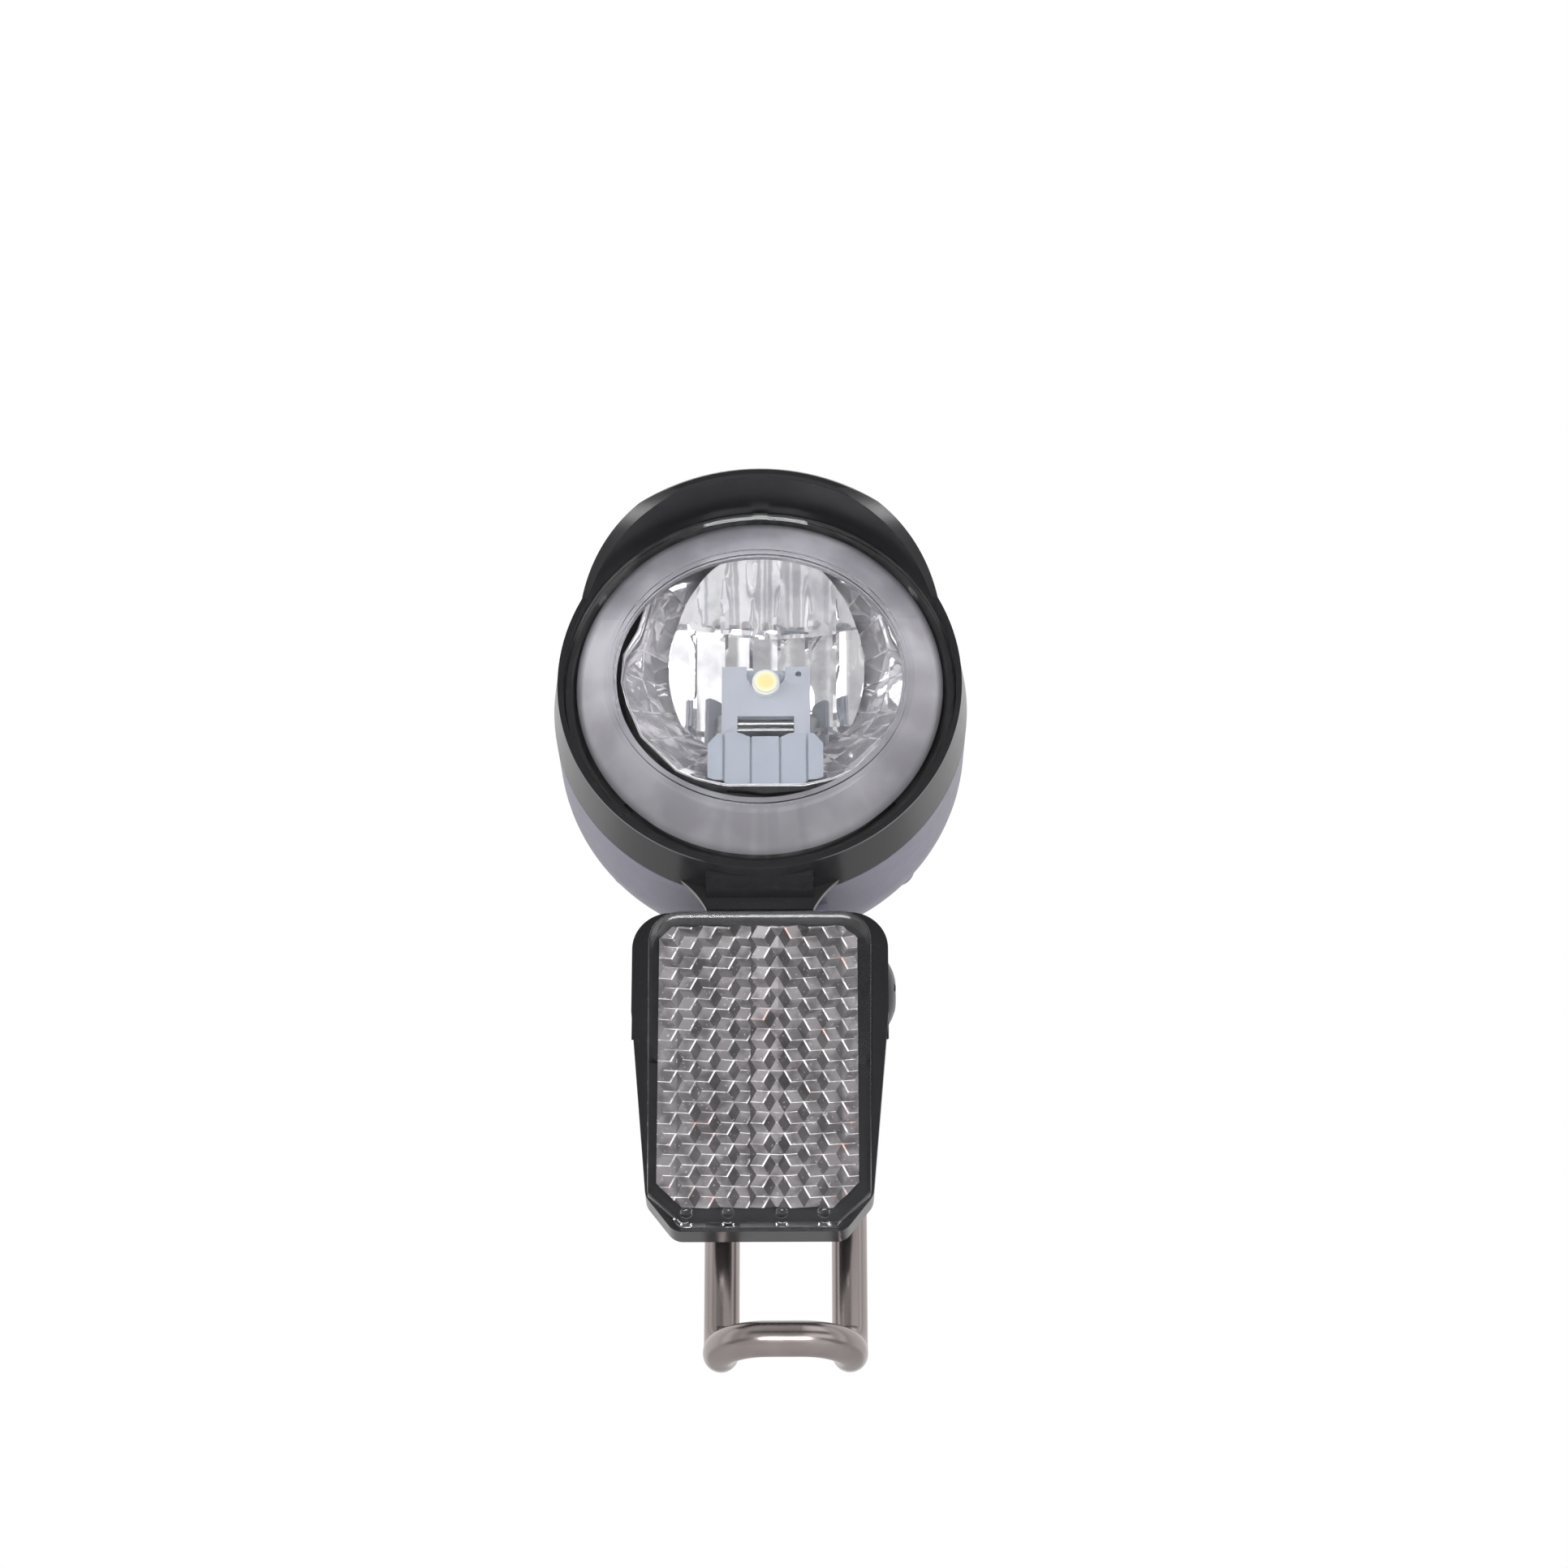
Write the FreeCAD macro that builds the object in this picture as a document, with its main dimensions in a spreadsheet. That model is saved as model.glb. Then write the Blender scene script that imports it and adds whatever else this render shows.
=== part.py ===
import FreeCAD, Part
import math
import os
import Sketcher

# Bicycle headlight with a separate front reflector, carried by a bent wire bracket.
# Millimetres. X is the viewer's right, Z is up and the lamp shines towards -Y.
# The origin is the centre of the bracket's foot loop.

os.makedirs("parts", exist_ok=True)
doc = FreeCAD.newDocument("headlight")

# Driving sizes
sizes = {
    # wire bracket
    "wire_radius": 2.5,
    "leg_spacing": 18.0,
    "foot_bend": 4.6,
    "loop_corner": 6.6,
    "pivot_height": 53.4,
    "eye_wrap": 280.0,
    "lamp_offset": 3.5,
    # pivot
    "screw_radius": 2.5,
    "pin_fit": 0.08,
    "joint_gap": 0.3,
    "screw_length": 35.0,
    "head_radius": 5.0,
    "head_height": 2.5,
    "head_seat": 16.8,
    "recess_depth": 1.4,
    "nut_flats": 8.0,
    "nut_height": 4.0,
    "neck_barrel": 6.4,
    "hole_clearance": 0.1,
    # head
    "neck_rise": 10.4,
    "lens_forward": 18.0,
    "lens_radius": 28.1,
    "lens_edge": 2.0,
    "lens_wall": 1.8,
    "rim_width": 0.9,
    "ring_rise": 3.8,
    "window_inset": 6.5,
    "window_drop": 1.5,
    "window_step": 0.5,
    "seat_gap": 0.15,
    "gasket_height": 0.5,
    "bezel_lip": 1.9,
    "bezel_wall": 0.75,
    "bezel_flare": 1.0,
    "bezel_back": 7.1,
    "seat_width": 2.5,
    "spigot_length": 3.0,
    "spigot_gap": 0.1,
    "hood_reach": 12.0,
    "hood_flare": 0.6,
    "hood_wall": 1.6,
    "hood_corner": 61.5,
    "hood_foot": 27.5,
    "hood_belly": 1.5,
    "tongue_width": 15.2,
    "tongue_flare": 4.9,
    "flare_thick": 1.2,
    "tongue_thick": 3.0,
    "seal_height": 0.3,
    # housing
    "housing_wall": 1.5,
    "housing_straight": 20.0,
    "housing_depth": 39.5,
    "back_inset": 15.0,
    "back_belly": 0.4,
    "boss_radius": 3.0,
    "boss_inset": 1.6,
    "boss_angle": 35.0,
    "screw_bore": 1.25,
    "small_head": 2.3,
    "small_length": 12.0,
    # bowl and inner frame
    "bowl_focus": 10.0,
    "bowl_depth": 16.5,
    "bowl_centre": 8.0,
    "bowl_wall": 1.2,
    "bowl_inset": 4.7,
    "column_pitch": 4.1,
    "frame_plate": 1.2,
    "optic_side": 0.8,
    # light source
    "plate_front": 6.0,
    "plate_wide": 12.8,
    "plate_top": 5.85,
    "plate_foot": -2.1,
    "plate_thick": 1.2,
    "notch_wide": 5.6,
    "notch_deep": 3.0,
    "tab_gap": 8.2,
    "shroud_top": -6.2,
    "shroud_foot": -15.1,
    "shroud_wide": 16.6,
    "shroud_front": 3.0,
    "led_radius": 2.0,
    "led_height": 1.2,
    "led_place": 2.8,
    "post_wide": 8.0,
    "sink_front": 19.0,
    "sink_inset": 8.5,
    "sink_plate": 1.5,
    "fin_count": 7,
    "fin_margin": 3.0,
    "fin_reach": 6.0,
    # electronics
    "board_stand": 6.4,
    "board_thick": 1.6,
    "board_inset": 7.5,
    "post_radius": 2.0,
    "post_circle": 13.5,
    "can_radius": 4.0,
    "can_height": 7.0,
    # switch and cable inlet
    "switch_height": 7.0,
    "switch_travel": 4.0,
    "slider_wide": 9.0,
    "slider_high": 5.0,
    "slider_rise": 1.6,
    "stem_wide": 3.0,
    "cable_height": -8.0,
    "cable_bore": 1.6,
    "grommet_radius": 3.6,
    "grommet_rise": 4.0,
    # reflector
    "carrier_top": 8.6,
    "carrier_foot": -39.2,
    "carrier_wide": 36.4,
    "carrier_foot_wide": 31.7,
    "carrier_wall": 1.4,
    "carrier_front": 8.0,
    "carrier_back": 12.5,
    "panel_back": 10.0,
    "ear_radius": 6.6,
    "prism_front": 5.5,
    "prism_back": 8.5,
    "prism_wide": 31.8,
    "prism_foot_wide": 30.9,
    "prism_top": 7.9,
    "prism_foot": -38.8,
    "prism_border": 2.15,
    "border_rise": 0.6,
    "prism_foot_cut": 4.0,
    "cube_pitch": 3.0,
    "cube_depth": 1.1,
    "peg_radius": 0.9,
}

sheet = doc.addObject("Spreadsheet::Sheet", "sizes")
for row, (word, number) in enumerate(sizes.items(), 1):
    sheet.set(f"A{row}", word)
    sheet.set(f"B{row}", str(number))
    sheet.setAlias(f"B{row}", word)
doc.recompute()
pieces = []


class Sizes:
    """Every driving size, read back from the sheet by its name."""

    def __getattr__(self, word):
        return float(sheet.get(word))


s = Sizes()
vec = FreeCAD.Vector

# Places that several pieces share
leg_half = s.leg_spacing / 2
loop_reach = s.foot_bend + s.loop_corner
leg_back = loop_reach / 2
eye_radius = s.screw_radius + s.pin_fit + s.wire_radius
lamp_place = FreeCAD.Placement(
    vec(-s.lamp_offset, leg_back - eye_radius, s.pivot_height), FreeCAD.Rotation()
)
left_leg = s.lamp_offset - leg_half
right_leg = s.lamp_offset + leg_half
neck_left = left_leg + s.wire_radius + s.joint_gap
ear_left = left_leg - s.wire_radius - s.joint_gap
ear_right = right_leg + s.wire_radius + s.joint_gap
lip_radius = s.lens_radius + s.seat_gap + s.bezel_wall
seam_radius = lip_radius + s.bezel_flare
axis_height = seam_radius + s.neck_rise
head_place = lamp_place * FreeCAD.Placement(
    vec(0, -s.lens_forward, axis_height), FreeCAD.Rotation()
)
optic_place = head_place * FreeCAD.Placement(vec(s.optic_side, 0, 0), FreeCAD.Rotation())
bezel_bore = s.lens_radius - s.seat_width
window_wide = s.lens_radius - s.window_inset
window_high = window_wide - s.window_drop
boss_circle = bezel_bore - s.boss_inset
bowl_wide = bezel_bore - s.bowl_inset
shell_inner = seam_radius - s.housing_wall
seat_depth = s.lens_edge + s.gasket_height + 0.1
spigot_end = s.bezel_back + s.spigot_length
housing_front = s.bezel_back + s.seal_height
housing_inside = s.housing_depth - s.housing_wall
frame_front = spigot_end + 0.1
frame_back = frame_front + s.frame_plate
board_back = housing_inside - s.board_stand
board_front = board_back - s.board_thick
board_radius = shell_inner - s.board_inset
sink_radius = shell_inner - s.sink_inset
screw_x = boss_circle * math.cos(math.radians(s.boss_angle))
screw_z = -boss_circle * math.sin(math.radians(s.boss_angle))


# Modelling helpers
def new_body(name, place):
    body = doc.addObject("PartDesign::Body", name)
    body.Label = name
    body.Placement = place
    pieces.append(body)
    return body


def keep(item, name, place):
    item.Label = name
    item.Placement = place
    pieces.append(item)
    return item


def sketch_on(body, plane, offset=0.0):
    sketch = body.newObject("Sketcher::SketchObject", f"{body.Name}_outline")
    origin = [item for item in body.Origin.OriginFeatures if item.Role == plane]
    sketch.AttachmentSupport = [(origin[0], "")]
    sketch.MapMode = "FlatFace"
    sketch.AttachmentOffset = FreeCAD.Placement(vec(0, 0, offset), FreeCAD.Rotation())
    return sketch


def front_sketch(body, depth=0.0):
    """A sketch seen from the front, at a depth along Y."""
    return sketch_on(body, "XZ_Plane", -depth)


def side_sketch(body, across=0.0):
    """A sketch seen from the side, with Y to the right, at a place along X."""
    return sketch_on(body, "YZ_Plane", across)


def outline(sketch, points):
    corners = [vec(a, b, 0) for a, b in points]
    for start, end in zip(corners, corners[1:] + corners[:1]):
        sketch.addGeometry(Part.LineSegment(start, end), False)
    return sketch


def chain(sketch, steps):
    """Closed run of lines and arcs: two numbers are a corner, four an arc's middle and end."""
    points = [vec(step[-2], step[-1], 0) for step in steps]
    for index, step in enumerate(steps):
        start = points[index - 1]
        if len(step) == 4:
            sketch.addGeometry(Part.Arc(start, vec(step[0], step[1], 0), points[index]), False)
        else:
            sketch.addGeometry(Part.LineSegment(start, points[index]), False)
    return sketch


def ring(sketch, across, up, radius, rule=None):
    centre = vec(across, up, 0)
    number = sketch.addGeometry(Part.Circle(centre, vec(0, 0, 1), radius), False)
    if rule:
        spot = sketch.addConstraint(Sketcher.Constraint("Radius", number, radius))
        sketch.setExpression(f"Constraints[{spot}]", rule)
    return sketch


def box_outline(sketch, left, right, low, high):
    return outline(sketch, [(left, low), (right, low), (right, high), (left, high)])


def feature(body, kind, sketch, name):
    item = body.newObject(f"PartDesign::{kind}", f"{body.Name}_{name}")
    item.Profile = sketch
    sketch.Visibility = False
    return item


def pad(body, sketch, rule, name="pad", back=True, middle=False):
    """Front sketches pad backwards, away from the viewer, unless back is False."""
    item = feature(body, "Pad", sketch, name)
    item.setExpression("Length", str(rule))
    item.Reversed = back
    item.Midplane = middle
    return item


def pocket(body, sketch, rule, name="cut", back=True, middle=False):
    item = feature(body, "Pocket", sketch, name)
    item.setExpression("Length", str(rule))
    item.Reversed = not back
    item.Midplane = middle
    return item


def through(body, sketch, name="cut"):
    item = feature(body, "Pocket", sketch, name)
    item.Type = "ThroughAll"
    item.Midplane = True
    return item


def spin(body, sketch, name="turned", kind="Revolution"):
    item = feature(body, kind, sketch, name)
    item.ReferenceAxis = (sketch, ["H_Axis"])
    item.Angle = 360
    return item


def rounded(points, radius):
    """Corners of a closed outline turned into arcs, as steps for chain."""
    steps = []
    count = len(points)
    for index, (x, z) in enumerate(points):
        before = vec(*points[index - 1], 0) - vec(x, z, 0)
        after = vec(*points[(index + 1) % count], 0) - vec(x, z, 0)
        turn = before.getAngle(after)
        reach = radius / math.tan(turn / 2)
        start = vec(x, z, 0) + before.normalize() * reach
        end = vec(x, z, 0) + after.normalize() * reach
        bisector = (before + after).normalize()
        middle = vec(x, z, 0) + bisector * (radius / math.sin(turn / 2) - radius)
        steps.append((start.x, start.y))
        steps.append((middle.x, middle.y, end.x, end.y))
    return steps


# Wire bracket: two eyes round the pivot screw, two legs and a foot loop bent forward
def round_bar(name, start, turn, rule):
    bar = doc.addObject("Part::Cylinder", name)
    bar.setExpression("Radius", "sizes.wire_radius")
    bar.setExpression("Height", rule)
    bar.Placement = FreeCAD.Placement(start, turn)
    return bar


def bend(name, centre, turn, radius_rule, sweep_rule):
    arc = doc.addObject("Part::Torus", name)
    arc.setExpression("Radius1", radius_rule)
    arc.setExpression("Radius2", "sizes.wire_radius")
    arc.setExpression("Angle3", sweep_rule)
    arc.Placement = FreeCAD.Placement(centre, turn)
    return arc


upright = FreeCAD.Rotation()
wire = []
for side, sign in (("left", -1), ("right", 1)):
    x = sign * leg_half
    # the eye starts at the top of the leg, behind the screw, and wraps over it to the front
    eye_turn = FreeCAD.Rotation(vec(0, 1, 0), vec(0, 0, 1), vec(1, 0, 0), "ZXY")
    wire.append(bend(
        f"{side}_eye", vec(x, leg_back - eye_radius, s.pivot_height), eye_turn,
        "sizes.screw_radius + sizes.pin_fit + sizes.wire_radius", "sizes.eye_wrap",
    ))
    leg_start = vec(x, leg_back, s.foot_bend)
    wire.append(round_bar(f"{side}_leg", leg_start, upright, "sizes.pivot_height - sizes.foot_bend"))
    # the foot bend turns the leg forward
    foot_turn = FreeCAD.Rotation(vec(0, 0, -1), vec(0, 1, 0), vec(1, 0, 0), "ZXY")
    foot_spot = vec(x, leg_back - s.foot_bend, s.foot_bend)
    wire.append(bend(f"{side}_foot", foot_spot, foot_turn, "sizes.foot_bend", "90"))
    # the corner turns it inwards, to the front bar of the loop
    corner_spot = vec(x - sign * s.loop_corner, leg_back - s.foot_bend, 0)
    corner_turn = FreeCAD.Rotation(vec(0, 0, 1), 180 if sign < 0 else 270)
    wire.append(bend(f"{side}_corner", corner_spot, corner_turn, "sizes.loop_corner", "90"))
across = FreeCAD.Rotation(vec(0, 1, 0), 90)
bar_start = vec(s.loop_corner - leg_half, leg_back - loop_reach, 0)
wire.append(round_bar("front_bar", bar_start, across, "sizes.leg_spacing - 2 * sizes.loop_corner"))
bracket = doc.addObject("Part::MultiFuse", "bracket_wire")
bracket.Shapes = wire
keep(bracket, "bracket_wire", FreeCAD.Placement())


# Front bezel: lens ring, hood and the tongue that reaches down to the reflector
bezel = new_body("front_bezel", head_place)
profile = side_sketch(bezel)
outline(profile, [
    (-s.bezel_lip + 0.4, lip_radius),
    (s.bezel_back, seam_radius),
    (s.bezel_back, shell_inner - s.spigot_gap),
    (spigot_end, shell_inner - s.spigot_gap),
    (spigot_end, bezel_bore),
    (seat_depth, bezel_bore),
    (seat_depth, s.lens_radius + s.seat_gap),
    (-s.bezel_lip, s.lens_radius + s.seat_gap),
    (-s.bezel_lip, lip_radius - 0.4),
])
spin(bezel, profile, "ring")
hood_radius = lip_radius + s.hood_flare
profile = side_sketch(bezel)
outline(profile, [
    (-1.0, lip_radius),
    (-s.hood_reach + 0.7, hood_radius),
    (-s.hood_reach, hood_radius - 0.5),
    (-s.hood_reach, hood_radius - s.hood_wall + 0.4),
    (-s.hood_reach + 0.5, hood_radius - s.hood_wall),
    (-s.bezel_lip, s.lens_radius + s.seat_gap),
    (-1.0, s.lens_radius + s.seat_gap),
])
spin(bezel, profile, "hood")
below = -hood_radius - 5
hood_corner = hood_radius * math.sin(math.radians(s.hood_corner))
hood_foot = lip_radius * math.sin(math.radians(s.hood_foot))
side_run = s.hood_reach - s.bezel_lip
side_rise = hood_corner - hood_foot
side_share = s.hood_belly / math.hypot(side_run, side_rise)
sweep = side_sketch(bezel)
chain(sweep, [
    (-s.bezel_lip, below),
    (-s.bezel_lip, hood_foot),
    (
        -s.bezel_lip - side_run / 2 - side_rise * side_share,
        hood_foot + side_rise / 2 - side_run * side_share,
        -s.hood_reach, hood_corner,
    ),
    (-s.hood_reach - 4, hood_corner),
    (-s.hood_reach - 4, below),
])
through(bezel, sweep, "hood_sides")
tongue_top = -lip_radius + 1.2
tongue_tip = s.carrier_top - axis_height - s.carrier_wall - 1.0
tongue_mid = s.carrier_back - s.tongue_thick - 0.6
profile = side_sketch(bezel)
outline(profile, [
    (0.8, tongue_top),
    (0.8, tongue_top - 1.4),
    (tongue_mid, s.carrier_top - axis_height + 0.6),
    (tongue_mid, tongue_tip),
    (tongue_mid + s.tongue_thick, tongue_tip),
    (tongue_mid + s.tongue_thick, s.carrier_top - axis_height + 0.8),
    (s.bezel_back - 0.1, -seam_radius - s.joint_gap),
    (s.bezel_back - 0.1, tongue_top),
])
pad(bezel, profile, "sizes.tongue_width", "tongue", middle=True)
flare = front_sketch(bezel, s.bezel_back - s.flare_thick - 0.1)
half = s.tongue_width / 2
flare_low = s.prism_top - axis_height + s.joint_gap
flare_out = half + s.tongue_flare
side_top = -math.sqrt((seam_radius - 0.4) ** 2 - flare_out ** 2)
bend_in = (half + s.tongue_flare * 0.34, (side_top + flare_low) / 2 - 0.1)
chain(flare, [
    (half, flare_low), bend_in + (flare_out, side_top), (flare_out, side_top + 0.8),
    (-flare_out, side_top + 0.8), (-flare_out, side_top), (-bend_in[0], bend_in[1], -half, flare_low),
])
pad(bezel, flare, "sizes.flare_thick", "tongue_flare")
clear = side_sketch(bezel)
outline(clear, [
    (-s.bezel_lip - 1, 0), (-s.bezel_lip - 1, s.lens_radius + s.seat_gap),
    (seat_depth, s.lens_radius + s.seat_gap), (seat_depth, bezel_bore),
    (spigot_end + 1, bezel_bore), (spigot_end + 1, 0),
])
spin(bezel, clear, "bore", "Groove")
for side in (-1, 1):
    boss = front_sketch(bezel, seat_depth + 0.5)
    ring(boss, side * screw_x, screw_z, s.boss_radius, "sizes.boss_radius")
    pad(bezel, boss, spigot_end - seat_depth - 0.5, f"boss{side + 1}")
    pilot = front_sketch(bezel, spigot_end)
    ring(pilot, side * screw_x, screw_z, s.screw_bore, "sizes.screw_bore")
    pocket(bezel, pilot, "5", f"pilot{side + 1}", back=False)


# Front lens: flat rim, ring that rises to an oval window, and the window's stepped edge
def oval(sketch, wide, high):
    if abs(wide - high) < 0.01:
        sketch.addGeometry(Part.Circle(vec(0, 0, 0), vec(0, 0, 1), wide), False)
    else:
        sketch.addGeometry(Part.Ellipse(vec(0, 0, 0), wide, high), False)
    return sketch


def tapered(body, kind, near, near_size, far, far_size, name):
    base = front_sketch(body, near)
    oval(base, *near_size)
    top = front_sketch(body, far)
    oval(top, *far_size)
    item = feature(body, kind, base, name)
    item.Sections = [top]
    item.Ruled = True
    return item


lens = new_body("front_lens", head_place)
rim = front_sketch(lens)
ring(rim, 0, 0, s.lens_radius, "sizes.lens_radius")
pad(lens, rim, "sizes.lens_edge", "rim")
ring_foot = s.lens_radius - s.rim_width
ring_top = (window_wide + 0.7, window_high + 0.7)
tapered(lens, "AdditiveLoft", 0.0, (ring_foot, ring_foot - 0.02), -s.ring_rise, ring_top, "slope")
window = front_sketch(lens, -s.ring_rise - s.window_step)
oval(window, window_wide, window_high)
pad(lens, window, "sizes.window_step + 0.5", "window")
inner_foot = bezel_bore - 0.2
inner_top = (window_wide + 0.7 - s.lens_wall, window_high + 0.7 - s.lens_wall)
tapered(
    lens, "SubtractiveLoft", s.lens_edge, (inner_foot, inner_foot - 0.02),
    -s.ring_rise - s.window_step + s.lens_wall, inner_top, "hollow",
)
nub = front_sketch(lens, -0.6)
box_outline(nub, -1.1, 1.1, s.lens_radius - 1.2, s.lens_radius - 0.15)
pad(lens, nub, "1", "gate")

# Lens gasket: a flat ring between the lens and its seat
gasket = new_body("lens_gasket", head_place)
flat = front_sketch(gasket, s.lens_edge + 0.05)
ring(flat, 0, 0, s.lens_radius - 0.1)
ring(flat, 0, 0, bezel_bore + 0.3)
pad(gasket, flat, "sizes.gasket_height")

# Housing seal: a thin ring in the seam between bezel and housing
seal = new_body("housing_seal", head_place)
flat = front_sketch(seal, s.bezel_back)
ring(flat, 0, 0, seam_radius - 0.25)
ring(flat, 0, 0, shell_inner + 0.1)
pad(seal, flat, "sizes.seal_height")


# Rear housing: turned bowl with a flat back, a hinge neck, screw tubes and board posts
def shell_steps(front, radius, shrink):
    """Half outline of the bowl, from its front edge to the axis at the back."""
    back = s.housing_depth - shrink
    flat_radius = seam_radius - s.back_inset - shrink * 0.4
    straight = s.housing_straight
    mid_y = straight + (back - straight) * 0.72
    mid_r = radius - 0.2 - (radius - flat_radius) * s.back_belly
    return [
        (front, 0), (front, radius), (straight, radius - 0.2),
        (mid_y, mid_r, back, flat_radius), (back, 0),
    ]


housing = new_body("rear_housing", head_place)
profile = side_sketch(housing)
chain(profile, shell_steps(housing_front, seam_radius, 0.0))
spin(housing, profile, "bowl")
neck_bottom = -axis_height
block = side_sketch(housing, neck_left)
reach = s.neck_barrel
neck_front = s.carrier_back + s.joint_gap + 0.1
chain(block, [
    (neck_front, -seam_radius + 2.1),
    (neck_front, s.carrier_top - s.carrier_wall - s.joint_gap - axis_height),
    (s.lens_forward - reach, neck_bottom + reach * 0.4),
    (s.lens_forward - reach, neck_bottom),
    (s.lens_forward, neck_bottom - reach, s.lens_forward + reach, neck_bottom),
    (s.lens_forward + reach + 1.6, -seam_radius + 2.1),
])
neck_width = (
    "sizes.leg_spacing - 2 * sizes.wire_radius - 2 * sizes.joint_gap"
)
pad(housing, block, neck_width, "neck", back=False)
for side in (-1, 1):
    tube = front_sketch(housing, frame_back + 0.1)
    ring(tube, side * screw_x, screw_z, s.boss_radius, "sizes.boss_radius")
    pad(housing, tube, housing_inside - frame_back - 4.0, f"tube{side + 1}")
profile = side_sketch(housing)
chain(profile, shell_steps(housing_front - 1, shell_inner, s.housing_wall))
spin(housing, profile, "hollow", "Groove")
for side in (-1, 1):
    tube = front_sketch(housing, frame_back + 0.1)
    ring(tube, side * screw_x, screw_z, s.boss_radius, "sizes.boss_radius")
    pad(housing, tube, housing_inside - frame_back - 6.0, f"sleeve{side + 1}")
    hole = front_sketch(housing, frame_back)
    ring(hole, side * screw_x, screw_z, s.screw_bore + s.hole_clearance)
    pocket(housing, hole, "40", f"hole{side + 1}")
    sunk = front_sketch(housing, spigot_end + s.small_length - 6.0)
    ring(sunk, side * screw_x, screw_z, s.small_head + s.hole_clearance)
    pocket(housing, sunk, "40", f"sunk{side + 1}")
for index in range(3):
    angle = math.radians(90 + 120 * index)
    post = front_sketch(housing, board_back)
    ring(
        post, s.post_circle * math.cos(angle), s.post_circle * math.sin(angle),
        s.post_radius, "sizes.post_radius",
    )
    pad(housing, post, "sizes.housing_depth - sizes.housing_wall / 2 - " + str(board_back), f"post{index}")
bore = side_sketch(housing, neck_left)
ring(bore, s.lens_forward, neck_bottom, s.screw_radius + s.hole_clearance)
through(housing, bore, "pivot_bore")
slot = front_sketch(housing, housing_inside - 0.5)
slot_half = (s.stem_wide + s.switch_travel) / 2 + s.joint_gap
stem_half = s.stem_wide / 2 + s.joint_gap
box_outline(slot, -slot_half, slot_half, s.switch_height - stem_half, s.switch_height + stem_half)
pocket(housing, slot, "20", "switch_slot")
inlet = front_sketch(housing, housing_inside - 0.5)
ring(inlet, 0, s.cable_height, s.grommet_radius - 1.0 + s.hole_clearance)
pocket(housing, inlet, "20", "cable_hole")


# Reflector bowl: flat facets on a grid that follows a shallow paraboloid
def bowl_at(x, z):
    return s.bowl_depth - (x ** 2 + (z - s.bowl_centre) ** 2) / (4 * s.bowl_focus)


def facet_block(front, shift):
    """Everything between a flat front and the facets, as one solid."""
    edge = bowl_wide + 3
    columns = [0.5, 1.5, 2.5, 3.5]
    inner = [s.column_pitch * step for step in columns]
    xs = [-edge] + [-value for value in reversed(inner)] + inner + [edge]
    zs = [s.bowl_centre + value for value in (-25, -16, -8.6, 6.7, 20)]
    faces = []

    def face(corners):
        wire = Part.makePolygon(corners + corners[:1])
        faces.append(Part.Face(wire))

    for a, b in zip(xs, xs[1:]):
        for c, d in zip(zs, zs[1:]):
            spots = [(a, c), (b, c), (b, d), (a, d)]
            face([vec(x, bowl_at(x, z) + shift, z) for x, z in spots])
        face([vec(a, front, zs[0]), vec(b, front, zs[0]),
              vec(b, bowl_at(b, zs[0]) + shift, zs[0]), vec(a, bowl_at(a, zs[0]) + shift, zs[0])])
        face([vec(a, front, zs[-1]), vec(b, front, zs[-1]),
              vec(b, bowl_at(b, zs[-1]) + shift, zs[-1]), vec(a, bowl_at(a, zs[-1]) + shift, zs[-1])])
    for x in (xs[0], xs[-1]):
        edge_line = [vec(x, bowl_at(x, z) + shift, z) for z in zs]
        face([vec(x, front, zs[-1]), vec(x, front, zs[0])] + edge_line)
    face([vec(xs[0], front, zs[0]), vec(xs[-1], front, zs[0]),
          vec(xs[-1], front, zs[-1]), vec(xs[0], front, zs[-1])])
    # the long side faces share their edges with the small ones after sewing
    shell = Part.makeShell(faces)
    solid = Part.makeSolid(shell)
    solid.fix(0.001, 0.001, 0.001)
    return solid


def bowl_corners(grow):
    """Right half of the bowl's mouth seen from the front, and the height of its arched top."""
    wide = bowl_wide + grow
    shares = [
        (0.78, 0.474), (0.89, 0.067), (0.986, -0.12), (1.0, -0.335), (0.957, -0.502),
        (0.856, -0.751), (0.612, -1.01), (0.474, -1.077), (0.263, -1.124),
    ]
    corners = [(wide * across, s.bowl_centre + wide * up) for across, up in shares]
    return corners, bezel_bore - 0.8 + grow


def bowl_prism(front, back, grow=0.0):
    corners, top = bowl_corners(grow)
    run = [vec(x, front, z) for x, z in corners]
    run += [vec(-x, front, z) for x, z in reversed(corners)]
    edges = [Part.LineSegment(a, b).toShape() for a, b in zip(run, run[1:])]
    edges.append(Part.Arc(run[-1], vec(0, front, top), run[0]).toShape())
    return Part.Face(Part.Wire(edges)).extrude(vec(0, back - front, 0))


far_front = -20.0
room = facet_block(far_front, 0.0)
skin = facet_block(far_front - 1, s.bowl_wall).cut(room)
mirror = skin.common(bowl_prism(-2, s.bowl_depth + 3))
skirt = bowl_prism(-2, frame_back).cut(bowl_prism(-3, frame_back + 1, -s.bowl_wall)).cut(room)
post_hole = Part.makeBox(s.post_wide + 0.8, 30, 4.8)
post_hole.translate(vec(-s.post_wide / 2 - 0.4, 0, -1.4))
bowl = doc.addObject("Part::Feature", "reflector_bowl")
bowl.Shape = mirror.fuse(skirt).removeSplitter().cut(post_hole)
keep(bowl, "reflector_bowl", optic_place)

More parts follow.
